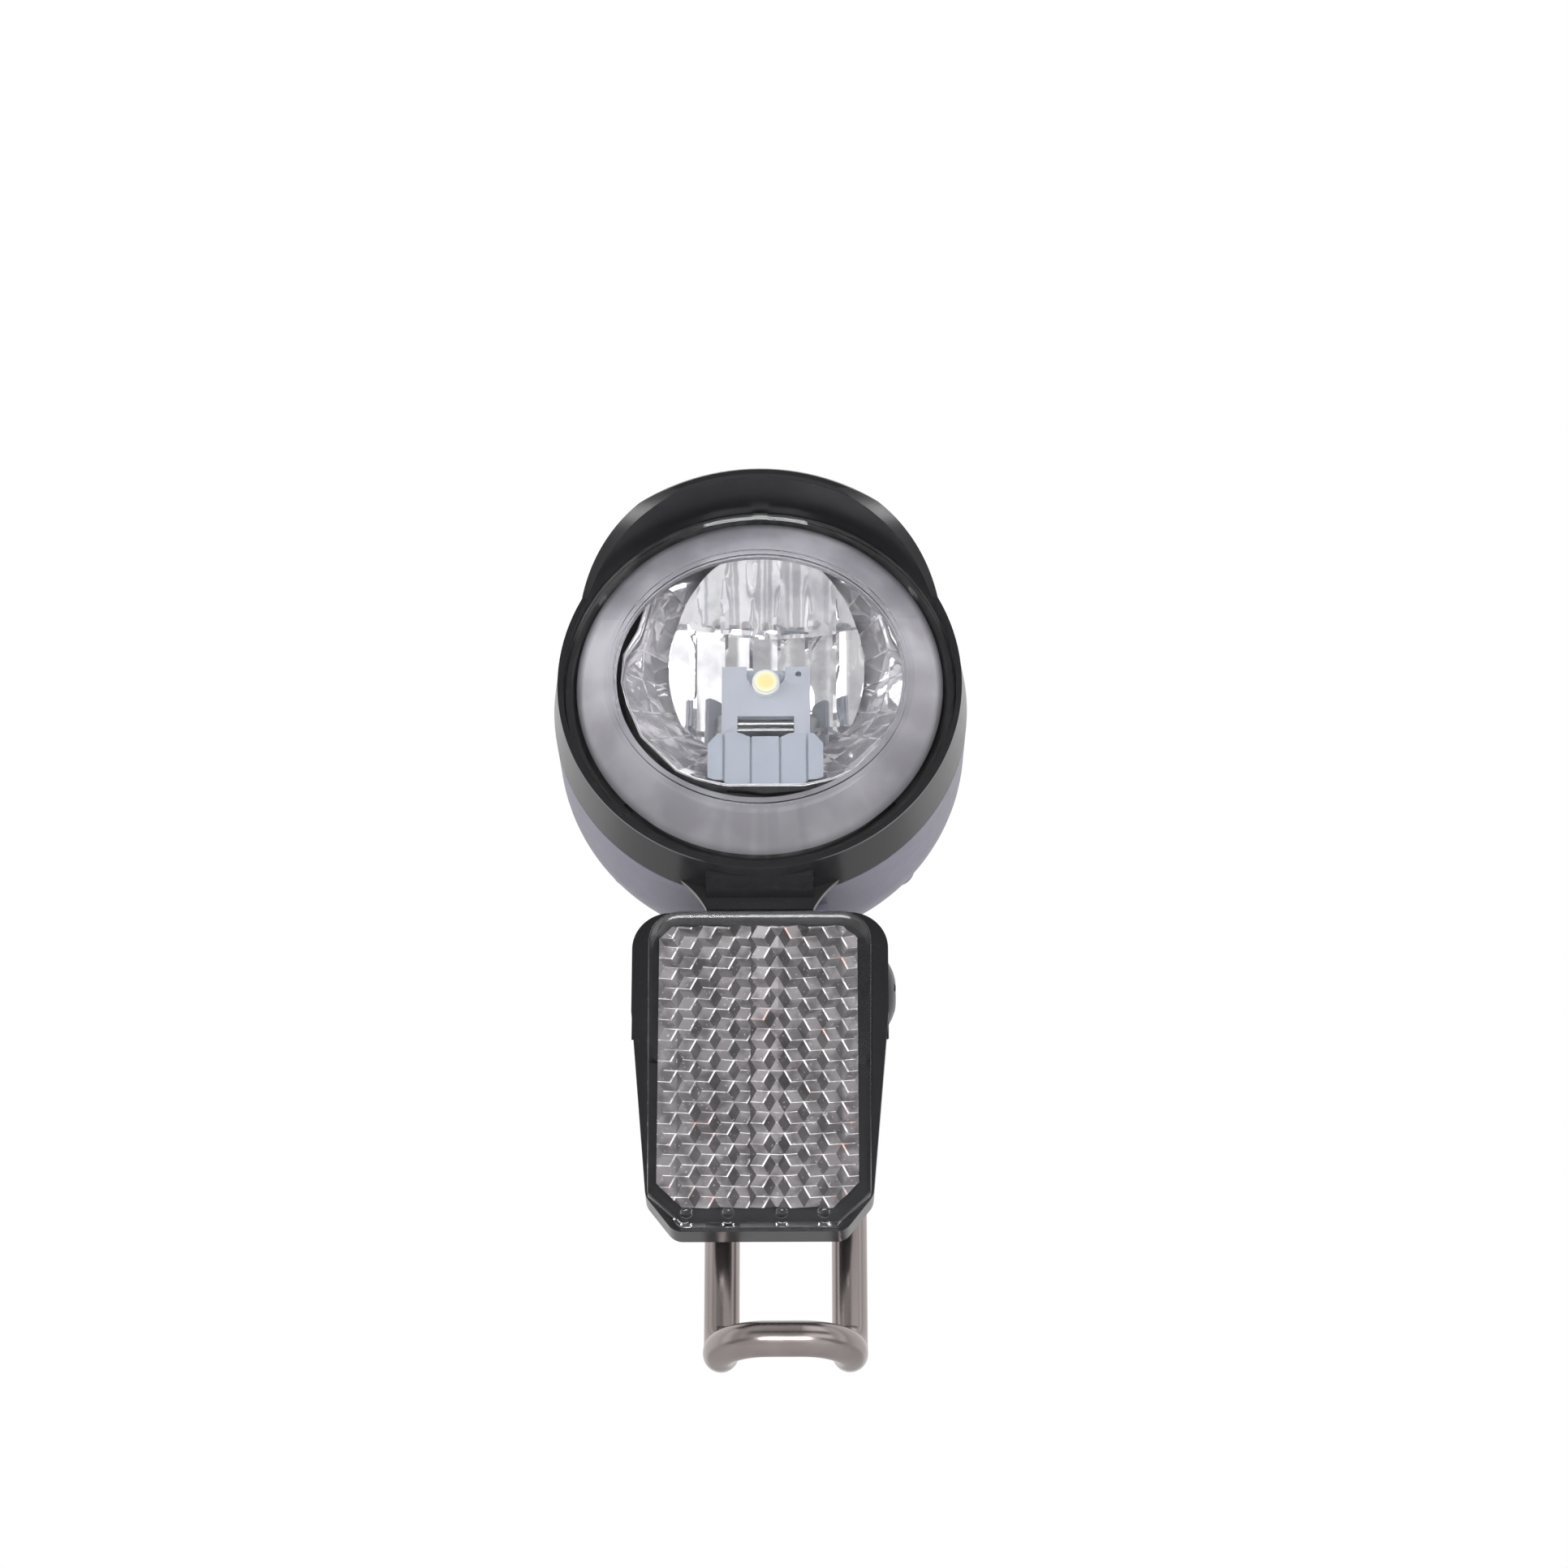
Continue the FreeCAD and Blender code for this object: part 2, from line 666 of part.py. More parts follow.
# Inner frame: black plate behind the bezel that carries the bowl
frame = new_body("inner_frame", head_place)
plate = front_sketch(frame, frame_front)
ring(plate, 0, 0, shell_inner - 0.3)
pad(frame, plate, "sizes.frame_plate", "plate")
leg_circle = sink_radius - 0.9
for side in (-1, 1):
    hole = front_sketch(frame, frame_front)
    ring(hole, side * screw_x, screw_z, s.screw_bore + s.hole_clearance)
    pocket(frame, hole, "10", f"hole{side + 1}")
    leg = front_sketch(frame, frame_back)
    leg_turn = math.radians(25)
    ring(leg, side * leg_circle * math.sin(leg_turn), -leg_circle * math.cos(leg_turn), 1.5)
    pad(frame, leg, s.sink_front - frame_back, f"leg{side + 1}")
mouth = front_sketch(frame, frame_front)
corners, top = bowl_corners(s.joint_gap)
steps = corners + [(-x, z) for x, z in reversed(corners)]
steps = [(x + s.optic_side, z) for x, z in steps]
steps[0] = (s.optic_side, top) + steps[0]
chain(mouth, steps)
pocket(frame, mouth, "10", "mouth")


# Light source: carrier plate with its notch and tabs, board, emitter and heat path
plate = new_body("led_carrier", optic_place)
face_sketch = front_sketch(plate, s.plate_front)
half = s.plate_wide / 2
notch = s.notch_wide / 2
notch_foot = s.plate_top - s.notch_deep
tab_in = s.tab_gap / 2
tab_foot = s.shroud_top
chain(face_sketch, [
    (-half, s.plate_top), (-half, tab_foot), (-tab_in, tab_foot), (-tab_in, s.plate_foot),
    (tab_in, s.plate_foot), (tab_in, tab_foot), (half, tab_foot), (half, s.plate_top),
    (notch, s.plate_top), (notch, notch_foot + 1.2),
    (0, notch_foot - 0.6, -notch, notch_foot + 1.2), (-notch, s.plate_top),
])
pad(plate, face_sketch, "sizes.plate_thick", "plate")
hole = front_sketch(plate, s.plate_front)
ring(hole, half - 1.7, s.plate_top - 1.2, 0.45)
pocket(plate, hole, "5", "pin_hole")

board = new_body("led_board", optic_place)
back_of_plate = s.plate_front + s.plate_thick
area = front_sketch(board, back_of_plate)
box_outline(area, -half + 0.3, half - 0.3, s.plate_foot + 0.6, s.plate_top - 0.05)
pad(board, area, "1.0")

emitter = new_body("led_package", optic_place)
spot = front_sketch(emitter, s.plate_front - s.led_height)
ring(spot, 0, s.led_place, s.led_radius, "sizes.led_radius")
pad(emitter, spot, "sizes.led_height")

phosphor = new_body("led_phosphor", optic_place)
spot = front_sketch(phosphor, s.plate_front - s.led_height - 0.25)
ring(spot, 0, s.led_place, s.led_radius - 0.35)
pad(phosphor, spot, "0.25")

bars = doc.addObject("Part::Feature", "contact_bars")
rods = []
for z in (s.plate_foot - 1.0, s.plate_foot - 2.0):
    rod = Part.makeCylinder(0.28, s.tab_gap - 0.1, vec(-tab_in + 0.05, s.plate_front + 0.5, z), vec(1, 0, 0))
    rods.append(rod)
bars.Shape = Part.makeCompound(rods)
keep(bars, "contact_bars", optic_place)

shroud_half = s.shroud_wide / 2
wing_foot = s.shroud_foot + 1.6
inner_wing = shroud_half - 2.3
top_mid = s.shroud_top - 0.5
shroud_points = [
    vec(-shroud_half, 0, wing_foot), vec(-inner_wing, 0, wing_foot),
    vec(-inner_wing, 0, s.shroud_foot), vec(inner_wing, 0, s.shroud_foot),
    vec(inner_wing, 0, wing_foot), vec(shroud_half, 0, wing_foot),
    vec(shroud_half, 0, s.shroud_top - 1.6), vec(shroud_half - 1.4, 0, s.shroud_top),
    vec(tab_in - 0.6, 0, s.shroud_top), vec(tab_in - 1.6, 0, top_mid),
    vec(-tab_in + 1.6, 0, top_mid), vec(-tab_in + 0.6, 0, s.shroud_top),
    vec(-shroud_half + 1.4, 0, s.shroud_top), vec(-shroud_half, 0, s.shroud_top - 1.6),
]
shroud_face = Part.Face(Part.makePolygon(shroud_points + shroud_points[:1]))
shroud_face.translate(vec(0, s.shroud_front, 0))
shroud_body = shroud_face.extrude(vec(0, 14, 0)).common(room)
for x in (-6.0, -2.1, 2.1, 6.0):
    groove = Part.makeBox(0.35, 0.5, 10, vec(x - 0.175, s.shroud_front - 0.1, s.shroud_foot - 1))
    shroud_body = shroud_body.cut(groove)
shroud = doc.addObject("Part::Feature", "led_shroud")
shroud.Shape = shroud_body
keep(shroud, "led_shroud", optic_place)

sink = new_body("heat_sink", head_place)
base = front_sketch(sink, s.sink_front)
ring(base, 0, 0, sink_radius)
pad(sink, base, "sizes.sink_plate", "plate")
post = front_sketch(sink, back_of_plate + 1.0)
box_outline(post, s.optic_side - s.post_wide / 2, s.optic_side + s.post_wide / 2, -1.0, 3.0)
pad(sink, post, s.sink_front - back_of_plate - 0.9, "post")
for index in range(int(s.fin_count)):
    x = (index / (s.fin_count - 1) - 0.5) * 2 * (sink_radius - 2 * s.can_radius - s.fin_margin)
    high = math.sqrt(max((sink_radius - 6) ** 2 - x ** 2, 9))
    fin = front_sketch(sink, s.sink_front + s.sink_plate - 0.1)
    box_outline(fin, x - 0.5, x + 0.5, -high, high)
    pad(sink, fin, "sizes.fin_reach + 0.1", f"fin{index}")

# Electronics behind the heat sink
driver = new_body("driver_board", head_place)
disc = front_sketch(driver, board_front)
ring(disc, 0, 0, board_radius)
pad(driver, disc, "sizes.board_thick", "disc")
for side in (-1, 1):
    bite = front_sketch(driver, board_front)
    ring(bite, side * screw_x, screw_z, s.boss_radius + 0.5)
    pocket(driver, bite, "10", f"bite{side + 1}")

can = new_body("buffer_capacitor", head_place)
spot = front_sketch(can, board_front - s.can_height)
ring(spot, sink_radius - 4.6, 6.0, s.can_radius, "sizes.can_radius")
pad(can, spot, "sizes.can_height")

coil = new_body("inductor", head_place)
spot = front_sketch(coil, board_front - 4.0)
box_outline(spot, -sink_radius + 1.4, -sink_radius + 7.4, 3.0, 9.0)
pad(coil, spot, "4.0")

chips = doc.addObject("Part::Feature", "board_chips")
blocks = [
    Part.makeBox(5.0, 1.2, 4.0, vec(6.0, board_back, -3.0)),
    Part.makeBox(3.0, 0.9, 3.0, vec(-10.0, board_back, -2.0)),
    Part.makeBox(2.0, 1.0, 5.0, vec(-3.0, board_back, -16.5)),
    Part.makeBox(4.0, 1.2, 2.6, vec(5.0, board_back, -16.0)),
]
chips.Shape = Part.makeCompound(blocks)
keep(chips, "board_chips", head_place)

# Slide switch at the back: its block stands on the board, the slider runs in the slot
block = new_body("switch_block", head_place)
area = front_sketch(block, board_back)
block_back = housing_inside - 2.4
box_outline(area, -6.0, 6.0, s.switch_height - 3.0, s.switch_height + 3.0)
pad(block, area, block_back - board_back, "case")
trough = front_sketch(block, block_back - 1.5)
box_outline(
    trough, -slot_half, slot_half, s.switch_height - stem_half, s.switch_height + stem_half,
)
pocket(block, trough, "10", "trough")

slider = new_body("switch_slider", head_place)
stem = front_sketch(slider, block_back - 1.2)
box_outline(
    stem, -s.stem_wide / 2, s.stem_wide / 2,
    s.switch_height - s.stem_wide / 2, s.switch_height + s.stem_wide / 2,
)
pad(slider, stem, s.housing_depth + s.joint_gap - block_back + 1.3, "stem")
knob = front_sketch(slider, s.housing_depth + s.joint_gap)
chain(knob, rounded([
    (-s.slider_wide / 2, s.switch_height - s.slider_high / 2),
    (s.slider_wide / 2, s.switch_height - s.slider_high / 2),
    (s.slider_wide / 2, s.switch_height + s.slider_high / 2),
    (-s.slider_wide / 2, s.switch_height + s.slider_high / 2),
], 1.2))
pad(slider, knob, "sizes.slider_rise", "knob")
for x in (-2.4, -0.8, 0.8, 2.4):
    rib = front_sketch(slider, s.housing_depth + s.joint_gap + s.slider_rise - 0.1)
    box_outline(rib, x - 0.3, x + 0.3, s.switch_height - 1.7, s.switch_height + 1.7)
    pad(slider, rib, "0.5", f"rib{x}".replace(".", "_").replace("-", "m"))

# Cable inlet: a rubber grommet with a waist in the housing's back wall
grommet = new_body("cable_grommet", head_place)
profile = side_sketch(grommet)
waist = s.grommet_radius - 1.0
outside = s.housing_depth
outline(profile, [
    (housing_inside - 1.5, s.cable_bore), (housing_inside - 1.5, s.grommet_radius - 0.3),
    (housing_inside - 0.05, s.grommet_radius), (housing_inside - 0.05, waist),
    (outside + 0.05, waist), (outside + 0.05, s.grommet_radius),
    (outside + 1.2, s.grommet_radius), (outside + s.grommet_rise, s.grommet_radius - 1.2),
    (outside + s.grommet_rise, s.cable_bore),
])
spin(grommet, profile)
grommet.Placement = head_place * FreeCAD.Placement(vec(0, 0, s.cable_height), FreeCAD.Rotation())

# Housing screws: two small pan heads sunk in the housing, driven into the bezel
screws = doc.addObject("Part::Feature", "housing_screws")
shanks = []
for side in (-1, 1):
    start = spigot_end - 4.5
    seat = spigot_end + s.small_length - 6.0
    shank = Part.makeCylinder(
        s.screw_bore - 0.05, seat - start + 0.1, vec(side * screw_x, start, screw_z), vec(0, 1, 0),
    )
    head = Part.makeCylinder(s.small_head, 1.6, vec(side * screw_x, seat, screw_z), vec(0, 1, 0))
    cross = Part.makeBox(2.6, 1.0, 0.6, vec(side * screw_x - 1.3, seat + 0.9, screw_z - 0.3))
    other = Part.makeBox(0.6, 1.0, 2.6, vec(side * screw_x - 0.3, seat + 0.9, screw_z - 1.3))
    shanks.append(shank.fuse(head).cut(cross).cut(other))
screws.Shape = Part.makeCompound(shanks)
keep(screws, "housing_screws", head_place)


# Reflector carrier: open-backed tray with a panel, tapering flanks and two pivot ears
carrier = new_body("reflector_carrier", lamp_place)
to_lamp = -s.lens_forward
half = s.carrier_wide / 2
foot_half = s.carrier_foot_wide / 2
neck_z = s.carrier_top - 15.0
foot_slant = 1.3
foot_cut = s.prism_foot_cut
foot_rise = s.prism_foot_cut * foot_slant
tray_corners = [
    (-half, s.carrier_top), (half, s.carrier_top), (half, neck_z),
    (foot_half, s.carrier_foot + foot_rise), (foot_half - foot_cut, s.carrier_foot),
    (-foot_half + foot_cut, s.carrier_foot), (-foot_half, s.carrier_foot + foot_rise), (-half, neck_z),
]
tray = rounded(tray_corners, 1.0)
tray[6:14] = rounded(tray_corners, 2.4)[6:14]
corner = 5.5
top_left = rounded([(-half, s.carrier_top), (half, s.carrier_top), (half, neck_z), (-half, neck_z)], corner)
tray[0:2] = top_left[0:2]
tray[2:4] = top_left[2:4]
body_sketch = front_sketch(carrier, s.carrier_front + to_lamp)
chain(body_sketch, tray)
pad(carrier, body_sketch, "sizes.carrier_back - sizes.carrier_front", "tray")
for name, x0, x1 in (("left", -half, ear_left), ("right", ear_right, half)):
    ear = side_sketch(carrier, x0)
    chain(ear, [
        (s.panel_back + to_lamp, -10.0),
        (0.0, -s.ear_radius),
        (s.ear_radius, 0.0, 0.0, s.ear_radius),
        (s.panel_back + to_lamp, s.ear_radius),
    ])
    pad(carrier, ear, x1 - x0, f"ear_{name}", back=False)
for side in (-1, 1):
    crop = front_sketch(carrier, s.carrier_front + to_lamp - 1)
    arc = corner * (1 - math.sqrt(0.5))
    high = s.carrier_top
    chain(crop, [
        (side * (half + 1), high - corner), (side * (half + 1), high + 1),
        (side * (half - corner), high + 1), (side * (half - corner), high),
        (side * (half - arc), high - arc, side * half, high - corner),
    ])
    pocket(carrier, crop, "40", f"corner{side + 1}")
wall = s.carrier_wall
inner = rounded([
    (ear_left, s.carrier_top - wall), (ear_right, s.carrier_top - wall), (ear_right, -10.0),
    (foot_half - wall, s.carrier_foot + foot_rise + 0.5), (foot_half - foot_cut - wall / 2, s.carrier_foot + wall),
    (-foot_half + foot_cut + wall / 2, s.carrier_foot + wall), (-foot_half + wall, s.carrier_foot + foot_rise + 0.5),
    (ear_left, -10.0),
], 0.8)
hollow = front_sketch(carrier, s.panel_back + to_lamp)
chain(hollow, inner)
pocket(carrier, hollow, "20", "hollow")
bed = front_sketch(carrier, s.carrier_front + to_lamp)


def prism_outline(grow, corner_top, corner_foot):
    """Outline of the clear reflector: rounded upper corners and cut lower ones."""
    top = s.prism_top + grow
    foot = s.prism_foot - grow
    wide = s.prism_wide / 2 + grow
    narrow = s.prism_foot_wide / 2 + grow
    arc = corner_top * (1 - math.sqrt(0.5))
    return [
        (-narrow, foot + corner_foot * foot_slant),
        (-narrow + corner_foot, foot), (narrow - corner_foot, foot),
        (narrow, foot + corner_foot * foot_slant), (wide, top - corner_top),
        (wide - arc, top - arc, wide - corner_top, top), (-wide + corner_top, top),
        (-wide + arc, top - arc, -wide, top - corner_top),
    ]


chain(bed, prism_outline(s.hole_clearance, 4.6, s.prism_foot_cut + 0.1))
pocket(carrier, bed, "sizes.prism_back - sizes.carrier_front", "bed")
slot_side = side_sketch(carrier, 0.0)
box_outline(
    slot_side, tongue_mid + to_lamp - 0.15, tongue_mid + to_lamp + s.tongue_thick + 0.15,
    s.carrier_top - wall - 3.0, s.carrier_top + 1.0,
)
pocket(carrier, slot_side, "sizes.tongue_width + 0.3", "tongue_slot", middle=True)
bore = side_sketch(carrier, 0.0)
ring(bore, 0, 0, s.screw_radius + s.hole_clearance)
through(carrier, bore, "pivot_bore")
head_bed = side_sketch(carrier, s.head_seat)
ring(head_bed, 0, 0, s.head_radius + 0.3)
pocket(carrier, head_bed, "20", "head_bed", back=False)
nut_seat = s.head_seat - s.screw_length + s.nut_height
nut_bed = side_sketch(carrier, nut_seat)
nut_round = s.nut_flats / math.sqrt(3)


def hexagon(grow):
    corners = []
    for index in range(6):
        angle = math.radians(60 * index)
        corners.append(((nut_round + grow) * math.cos(angle), (nut_round + grow) * math.sin(angle)))
    return corners


outline(nut_bed, hexagon(0.15))
pocket(carrier, nut_bed, "20", "nut_bed")
peg_rows = [s.prism_foot_wide * share for share in (-0.33, -0.14, 0.1, 0.29)]
for index, x in enumerate(peg_rows):
    hole = front_sketch(carrier, s.prism_back + to_lamp)
    ring(hole, x, s.prism_foot + 2.2, s.peg_radius + s.hole_clearance)
    pocket(carrier, hole, "sizes.panel_back - sizes.prism_back - 0.4", f"peg_hole{index}")


# Prism reflector: clear plate with a raised border, cube-corner grooves behind, and pegs
prism_plate = doc.addObject("PartDesign::Body", "prism_plate")
body_sketch = front_sketch(prism_plate, s.prism_front + to_lamp)
chain(body_sketch, prism_outline(0.0, 4.5, s.prism_foot_cut))
pad(prism_plate, body_sketch, "sizes.prism_back - sizes.prism_front", "plate")
field = front_sketch(prism_plate, s.prism_front + to_lamp)
border = s.prism_border
chain(field, prism_outline(0.4 - border, 2.6, s.prism_foot_cut - 0.2))
pocket(prism_plate, field, "sizes.border_rise", "field")
for index, x in enumerate(peg_rows):
    peg = front_sketch(prism_plate, s.prism_back + to_lamp - 0.1)
    ring(peg, x, s.prism_foot + 2.2, s.peg_radius, "sizes.peg_radius")
    pad(prism_plate, peg, "sizes.panel_back - sizes.prism_back - 0.4", f"peg{index}")
plate_back = s.prism_back + to_lamp
field_high = s.prism_top - s.prism_foot - 2 * border - 2.0
field_wide = s.prism_foot_wide - 2 * border
field_mid = (s.prism_top + s.prism_foot) / 2 + 1.0
groove_step = s.cube_pitch * math.cos(math.radians(30))
groove_count = int((field_high + field_wide) / 2 / groove_step)
long = field_high + field_wide
bars = []
for turn in (-60, 60, 0):
    for index in range(-groove_count, groove_count + 1):
        up = index * groove_step
        tooth = Part.makePolygon([
            vec(-long, plate_back + 0.01, up - groove_step * 0.48),
            vec(-long, plate_back - s.cube_depth, up),
            vec(-long, plate_back + 0.01, up + groove_step * 0.48),
            vec(-long, plate_back + 0.01, up - groove_step * 0.48),
        ])
        bar = Part.Face(tooth).extrude(vec(2 * long, 0, 0))
        bar.rotate(vec(0, 0, 0), vec(0, 1, 0), turn)
        bars.append(bar)
window = Part.makeBox(field_wide, 4, field_high)
window.translate(vec(-field_wide / 2, plate_back - s.cube_depth - 1, -field_high / 2))
grooves = doc.addObject("Part::Feature", "prism_grooves")
tool = Part.makeCompound([bar.common(window) for bar in bars if bar.common(window).Volume > 0.01])
tool.translate(vec(0, 0, field_mid))
grooves.Shape = tool
grooves.Placement = lamp_place
prism_plate.Placement = lamp_place
prism = doc.addObject("Part::Cut", "prism_reflector")
prism.Base = prism_plate
prism.Tool = grooves
keep(prism, "prism_reflector", FreeCAD.Placement())

# Pivot screw with a domed head and cross recess, and its nut
screw = new_body("pivot_screw", lamp_place)
profile = front_sketch(screw)
end = s.head_seat - s.screw_length
dome = s.head_seat + s.head_height
chain(profile, [
    (end, 0), (end, s.screw_radius - 0.5), (end + 0.5, s.screw_radius),
    (s.head_seat, s.screw_radius), (s.head_seat, s.head_radius),
    (s.head_seat + s.head_height * 0.45, s.head_radius),
    (s.head_seat + s.head_height * 0.85, s.head_radius * 0.66, dome, 0),
])
spin(screw, profile)
for turn, wide, high in (("flat", 5.6, 1.1), ("tall", 1.1, 5.6)):
    cross = side_sketch(screw, s.head_seat + s.head_height - s.recess_depth)
    box_outline(cross, -wide / 2, wide / 2, -high / 2, high / 2)
    pocket(screw, cross, "10", f"cross_{turn}", back=False)

nut = new_body("pivot_nut", lamp_place)
hexagon_sketch = side_sketch(nut, nut_seat - 0.02)
outline(hexagon_sketch, hexagon(0.0))
ring(hexagon_sketch, 0, 0, s.screw_radius + 0.03)
pad(nut, hexagon_sketch, "sizes.nut_height", "hexagon")


# Check and write
doc.recompute()
broken = [item.Name for item in doc.Objects if {"Invalid", "Error"} & set(item.State)]
if broken:
    raise RuntimeError(f"features that failed: {broken}")
for piece in pieces:
    if piece.Shape.isNull() or not piece.Shape.isValid():
        raise RuntimeError(f"{piece.Label} has no valid shape")
for piece in pieces:
    piece.Shape.exportStep(f"parts/{piece.Label}.step")
    box = piece.Shape.BoundBox
    print(f"{piece.Label:20s} solids {len(piece.Shape.Solids)} volume {piece.Shape.Volume:9.1f} "
          f"x {box.XMin:6.1f} {box.XMax:6.1f} y {box.YMin:6.1f} {box.YMax:6.1f} "
          f"z {box.ZMin:6.1f} {box.ZMax:6.1f}")
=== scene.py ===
import math
import random

import bmesh
import bpy
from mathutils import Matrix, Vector


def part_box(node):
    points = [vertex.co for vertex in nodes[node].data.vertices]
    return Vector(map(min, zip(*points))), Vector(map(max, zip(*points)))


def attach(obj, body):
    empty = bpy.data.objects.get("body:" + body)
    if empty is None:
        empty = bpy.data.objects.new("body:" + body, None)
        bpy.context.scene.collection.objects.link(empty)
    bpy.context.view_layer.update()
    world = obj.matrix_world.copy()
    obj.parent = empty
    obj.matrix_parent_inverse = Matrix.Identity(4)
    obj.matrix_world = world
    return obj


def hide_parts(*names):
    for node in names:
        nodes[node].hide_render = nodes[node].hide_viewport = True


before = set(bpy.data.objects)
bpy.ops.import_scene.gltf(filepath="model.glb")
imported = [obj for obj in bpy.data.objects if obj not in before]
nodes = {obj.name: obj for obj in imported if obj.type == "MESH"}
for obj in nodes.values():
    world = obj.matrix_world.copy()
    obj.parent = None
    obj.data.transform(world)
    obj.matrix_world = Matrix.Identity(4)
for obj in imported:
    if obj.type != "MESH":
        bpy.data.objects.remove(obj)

mm = 0.001
tiny = 0.01 * mm
upright = (math.pi / 2, 0, 0)
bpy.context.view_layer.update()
bpy.context.scene.view_settings.view_transform = "Standard"
print("frame loaded:", len(nodes), "CAD nodes")

# places read from the frame: centre of the lens edge, and the clear reflector's box
lensEdgeThick = 2 * mm
lensLow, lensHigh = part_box("front_lens")
head = Vector(((lensLow.x + lensHigh.x) / 2, lensHigh.y - lensEdgeThick,
               (lensLow.z + lensHigh.z) / 2))
prismLow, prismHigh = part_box("prism_reflector")
prismMid = (prismLow + prismHigh) / 2


def fromHead(across, back, up):
    return head + Vector((across, back, up)) * mm


# ways of working in edit mode

def leaveEdit():
    if bpy.context.object and bpy.context.object.mode != "OBJECT":
        bpy.ops.object.mode_set(mode="OBJECT")
    bpy.ops.object.select_all(action="DESELECT")


def choose(piece):
    leaveEdit()
    piece.select_set(True)
    bpy.context.view_layer.objects.active = piece


def enterEdit(piece):
    choose(piece)
    bpy.ops.object.mode_set(mode="EDIT")


def rename(piece, name):
    piece.name = name
    piece.data.name = name


def beginWith(name, addShape, **options):
    leaveEdit()
    addShape(enter_editmode=True, **options)
    piece = bpy.context.object
    rename(piece, name)
    return piece


def pickAll(kind):
    bpy.ops.mesh.select_mode(type=kind)
    bpy.ops.mesh.select_all(action="SELECT")


# test gets each vertex, edge or face
def pickItems(kind, test):
    bpy.ops.mesh.select_mode(type=kind)
    bpy.ops.mesh.select_all(action="DESELECT")
    data = bpy.context.object.data
    shape = bmesh.from_edit_mesh(data)
    for item in {"VERT": shape.verts, "EDGE": shape.edges, "FACE": shape.faces}[kind]:
        if test(item):
            item.select_set(True)
    shape.select_flush_mode()
    bmesh.update_edit_mesh(data)


# test gets the middle of each vertex, edge or face in world places
def pick(kind, test):
    world = bpy.context.object.matrix_world

    def middleFits(item):
        corners = [item] if kind == "VERT" else item.verts
        return test(sum((world @ vert.co for vert in corners), Vector()) / len(corners))

    pickItems(kind, middleFits)


def pickNumber(number):
    bpy.ops.mesh.select_mode(type="VERT")
    bpy.ops.mesh.select_all(action="DESELECT")
    shape = bmesh.from_edit_mesh(bpy.context.object.data)
    shape.verts.ensure_lookup_table()
    shape.verts[number].select_set(True)
    shape.select_flush_mode()
    bmesh.update_edit_mesh(bpy.context.object.data)


def worldSpots(piece):
    return [piece.matrix_world @ vert.co for vert in bmesh.from_edit_mesh(piece.data).verts]


def move(back=0.0, up=0.0):
    bpy.ops.transform.translate(value=(0, back * mm, up * mm))


def scaleFrom(centre, across=1.0, back=1.0, up=1.0):
    bpy.ops.transform.resize(value=(across, back, up), center_override=centre)


def extrudeAllBack(distance):
    pickAll("FACE")
    bpy.ops.mesh.extrude_region_move(TRANSFORM_OT_translate={"value": (0, distance * mm, 0)})


def extrudeRimBack(distance):
    bpy.ops.mesh.extrude_edges_move(TRANSFORM_OT_translate={"value": (0, distance * mm, 0)})


def closeNormals():
    bpy.ops.mesh.select_all(action="SELECT")
    bpy.ops.mesh.remove_doubles(threshold=0.1 * tiny)
    bpy.ops.mesh.normals_make_consistent(inside=False)


def cutOff(spot, way):
    bpy.ops.mesh.select_all(action="SELECT")
    bpy.ops.mesh.bisect(plane_co=spot, plane_no=way, clear_outer=True)


def settle(piece):
    choose(piece)
    bpy.ops.object.transform_apply(location=True, rotation=True, scale=True)


def applyModifier(piece, kind, **values):
    choose(piece)
    tool = piece.modifiers.new(kind.title(), kind)
    for word, value in values.items():
        setattr(tool, word, value)
    bpy.ops.object.modifier_apply(modifier=tool.name)


def repeatPiece(piece, count, step):
    applyModifier(piece, "ARRAY", count=count, use_relative_offset=False,
                  use_constant_offset=True, constant_offset_displace=step,
                  use_merge_vertices=True, merge_threshold=0.2 * tiny)


def cutWith(piece, tool, operation):
    applyModifier(piece, "BOOLEAN", object=tool, operation=operation, solver="EXACT")
    bpy.data.objects.remove(tool)


# finish is for pieces that have none yet
def handOver(piece, body, finish=None, smooth=None, standsFor=()):
    settle(piece)
    if smooth:
        bpy.ops.object.shade_smooth_by_angle(angle=math.radians(smooth))
    if finish:
        piece.data.materials.append(finish)
    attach(piece, body)
    if standsFor:
        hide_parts(*standsFor)
    print("made", piece.name, len(piece.data.polygons), "faces")


# ways of building node trees; colours are given as three numbers

def addNode(tree, kind, **values):
    node = tree.nodes.new("ShaderNode" + kind)
    for word, value in values.items():
        setattr(node, word, value)
    return node


# value is another node's output, or a plain value
def feed(tree, socket, value):
    if isinstance(value, bpy.types.NodeSocket):
        tree.links.new(value, socket)
    elif socket.type == "RGBA":
        socket.default_value = (*value, 1.0)
    else:
        socket.default_value = value


def setInputs(tree, node, values):
    for word, value in values.items():
        feed(tree, node.inputs[word], value)
    return node


def placeGroup(tree, group, values):
    return setInputs(tree, addNode(tree, "Group", node_tree=group), values)


def noise(tree, vector, scale, detail):
    node = setInputs(tree, addNode(tree, "TexNoise"),
                     {"Vector": vector, "Scale": scale, "Detail": detail})
    return node.outputs["Fac"]


def calculate(tree, operation, *values, clamp=False):
    node = addNode(tree, "Math", operation=operation, use_clamp=clamp)
    for socket, value in zip(node.inputs, values):
        feed(tree, socket, value)
    return node.outputs[0]


def splitVector(tree, vector):
    node = addNode(tree, "SeparateXYZ")
    tree.links.new(vector, node.inputs[0])
    return node.outputs


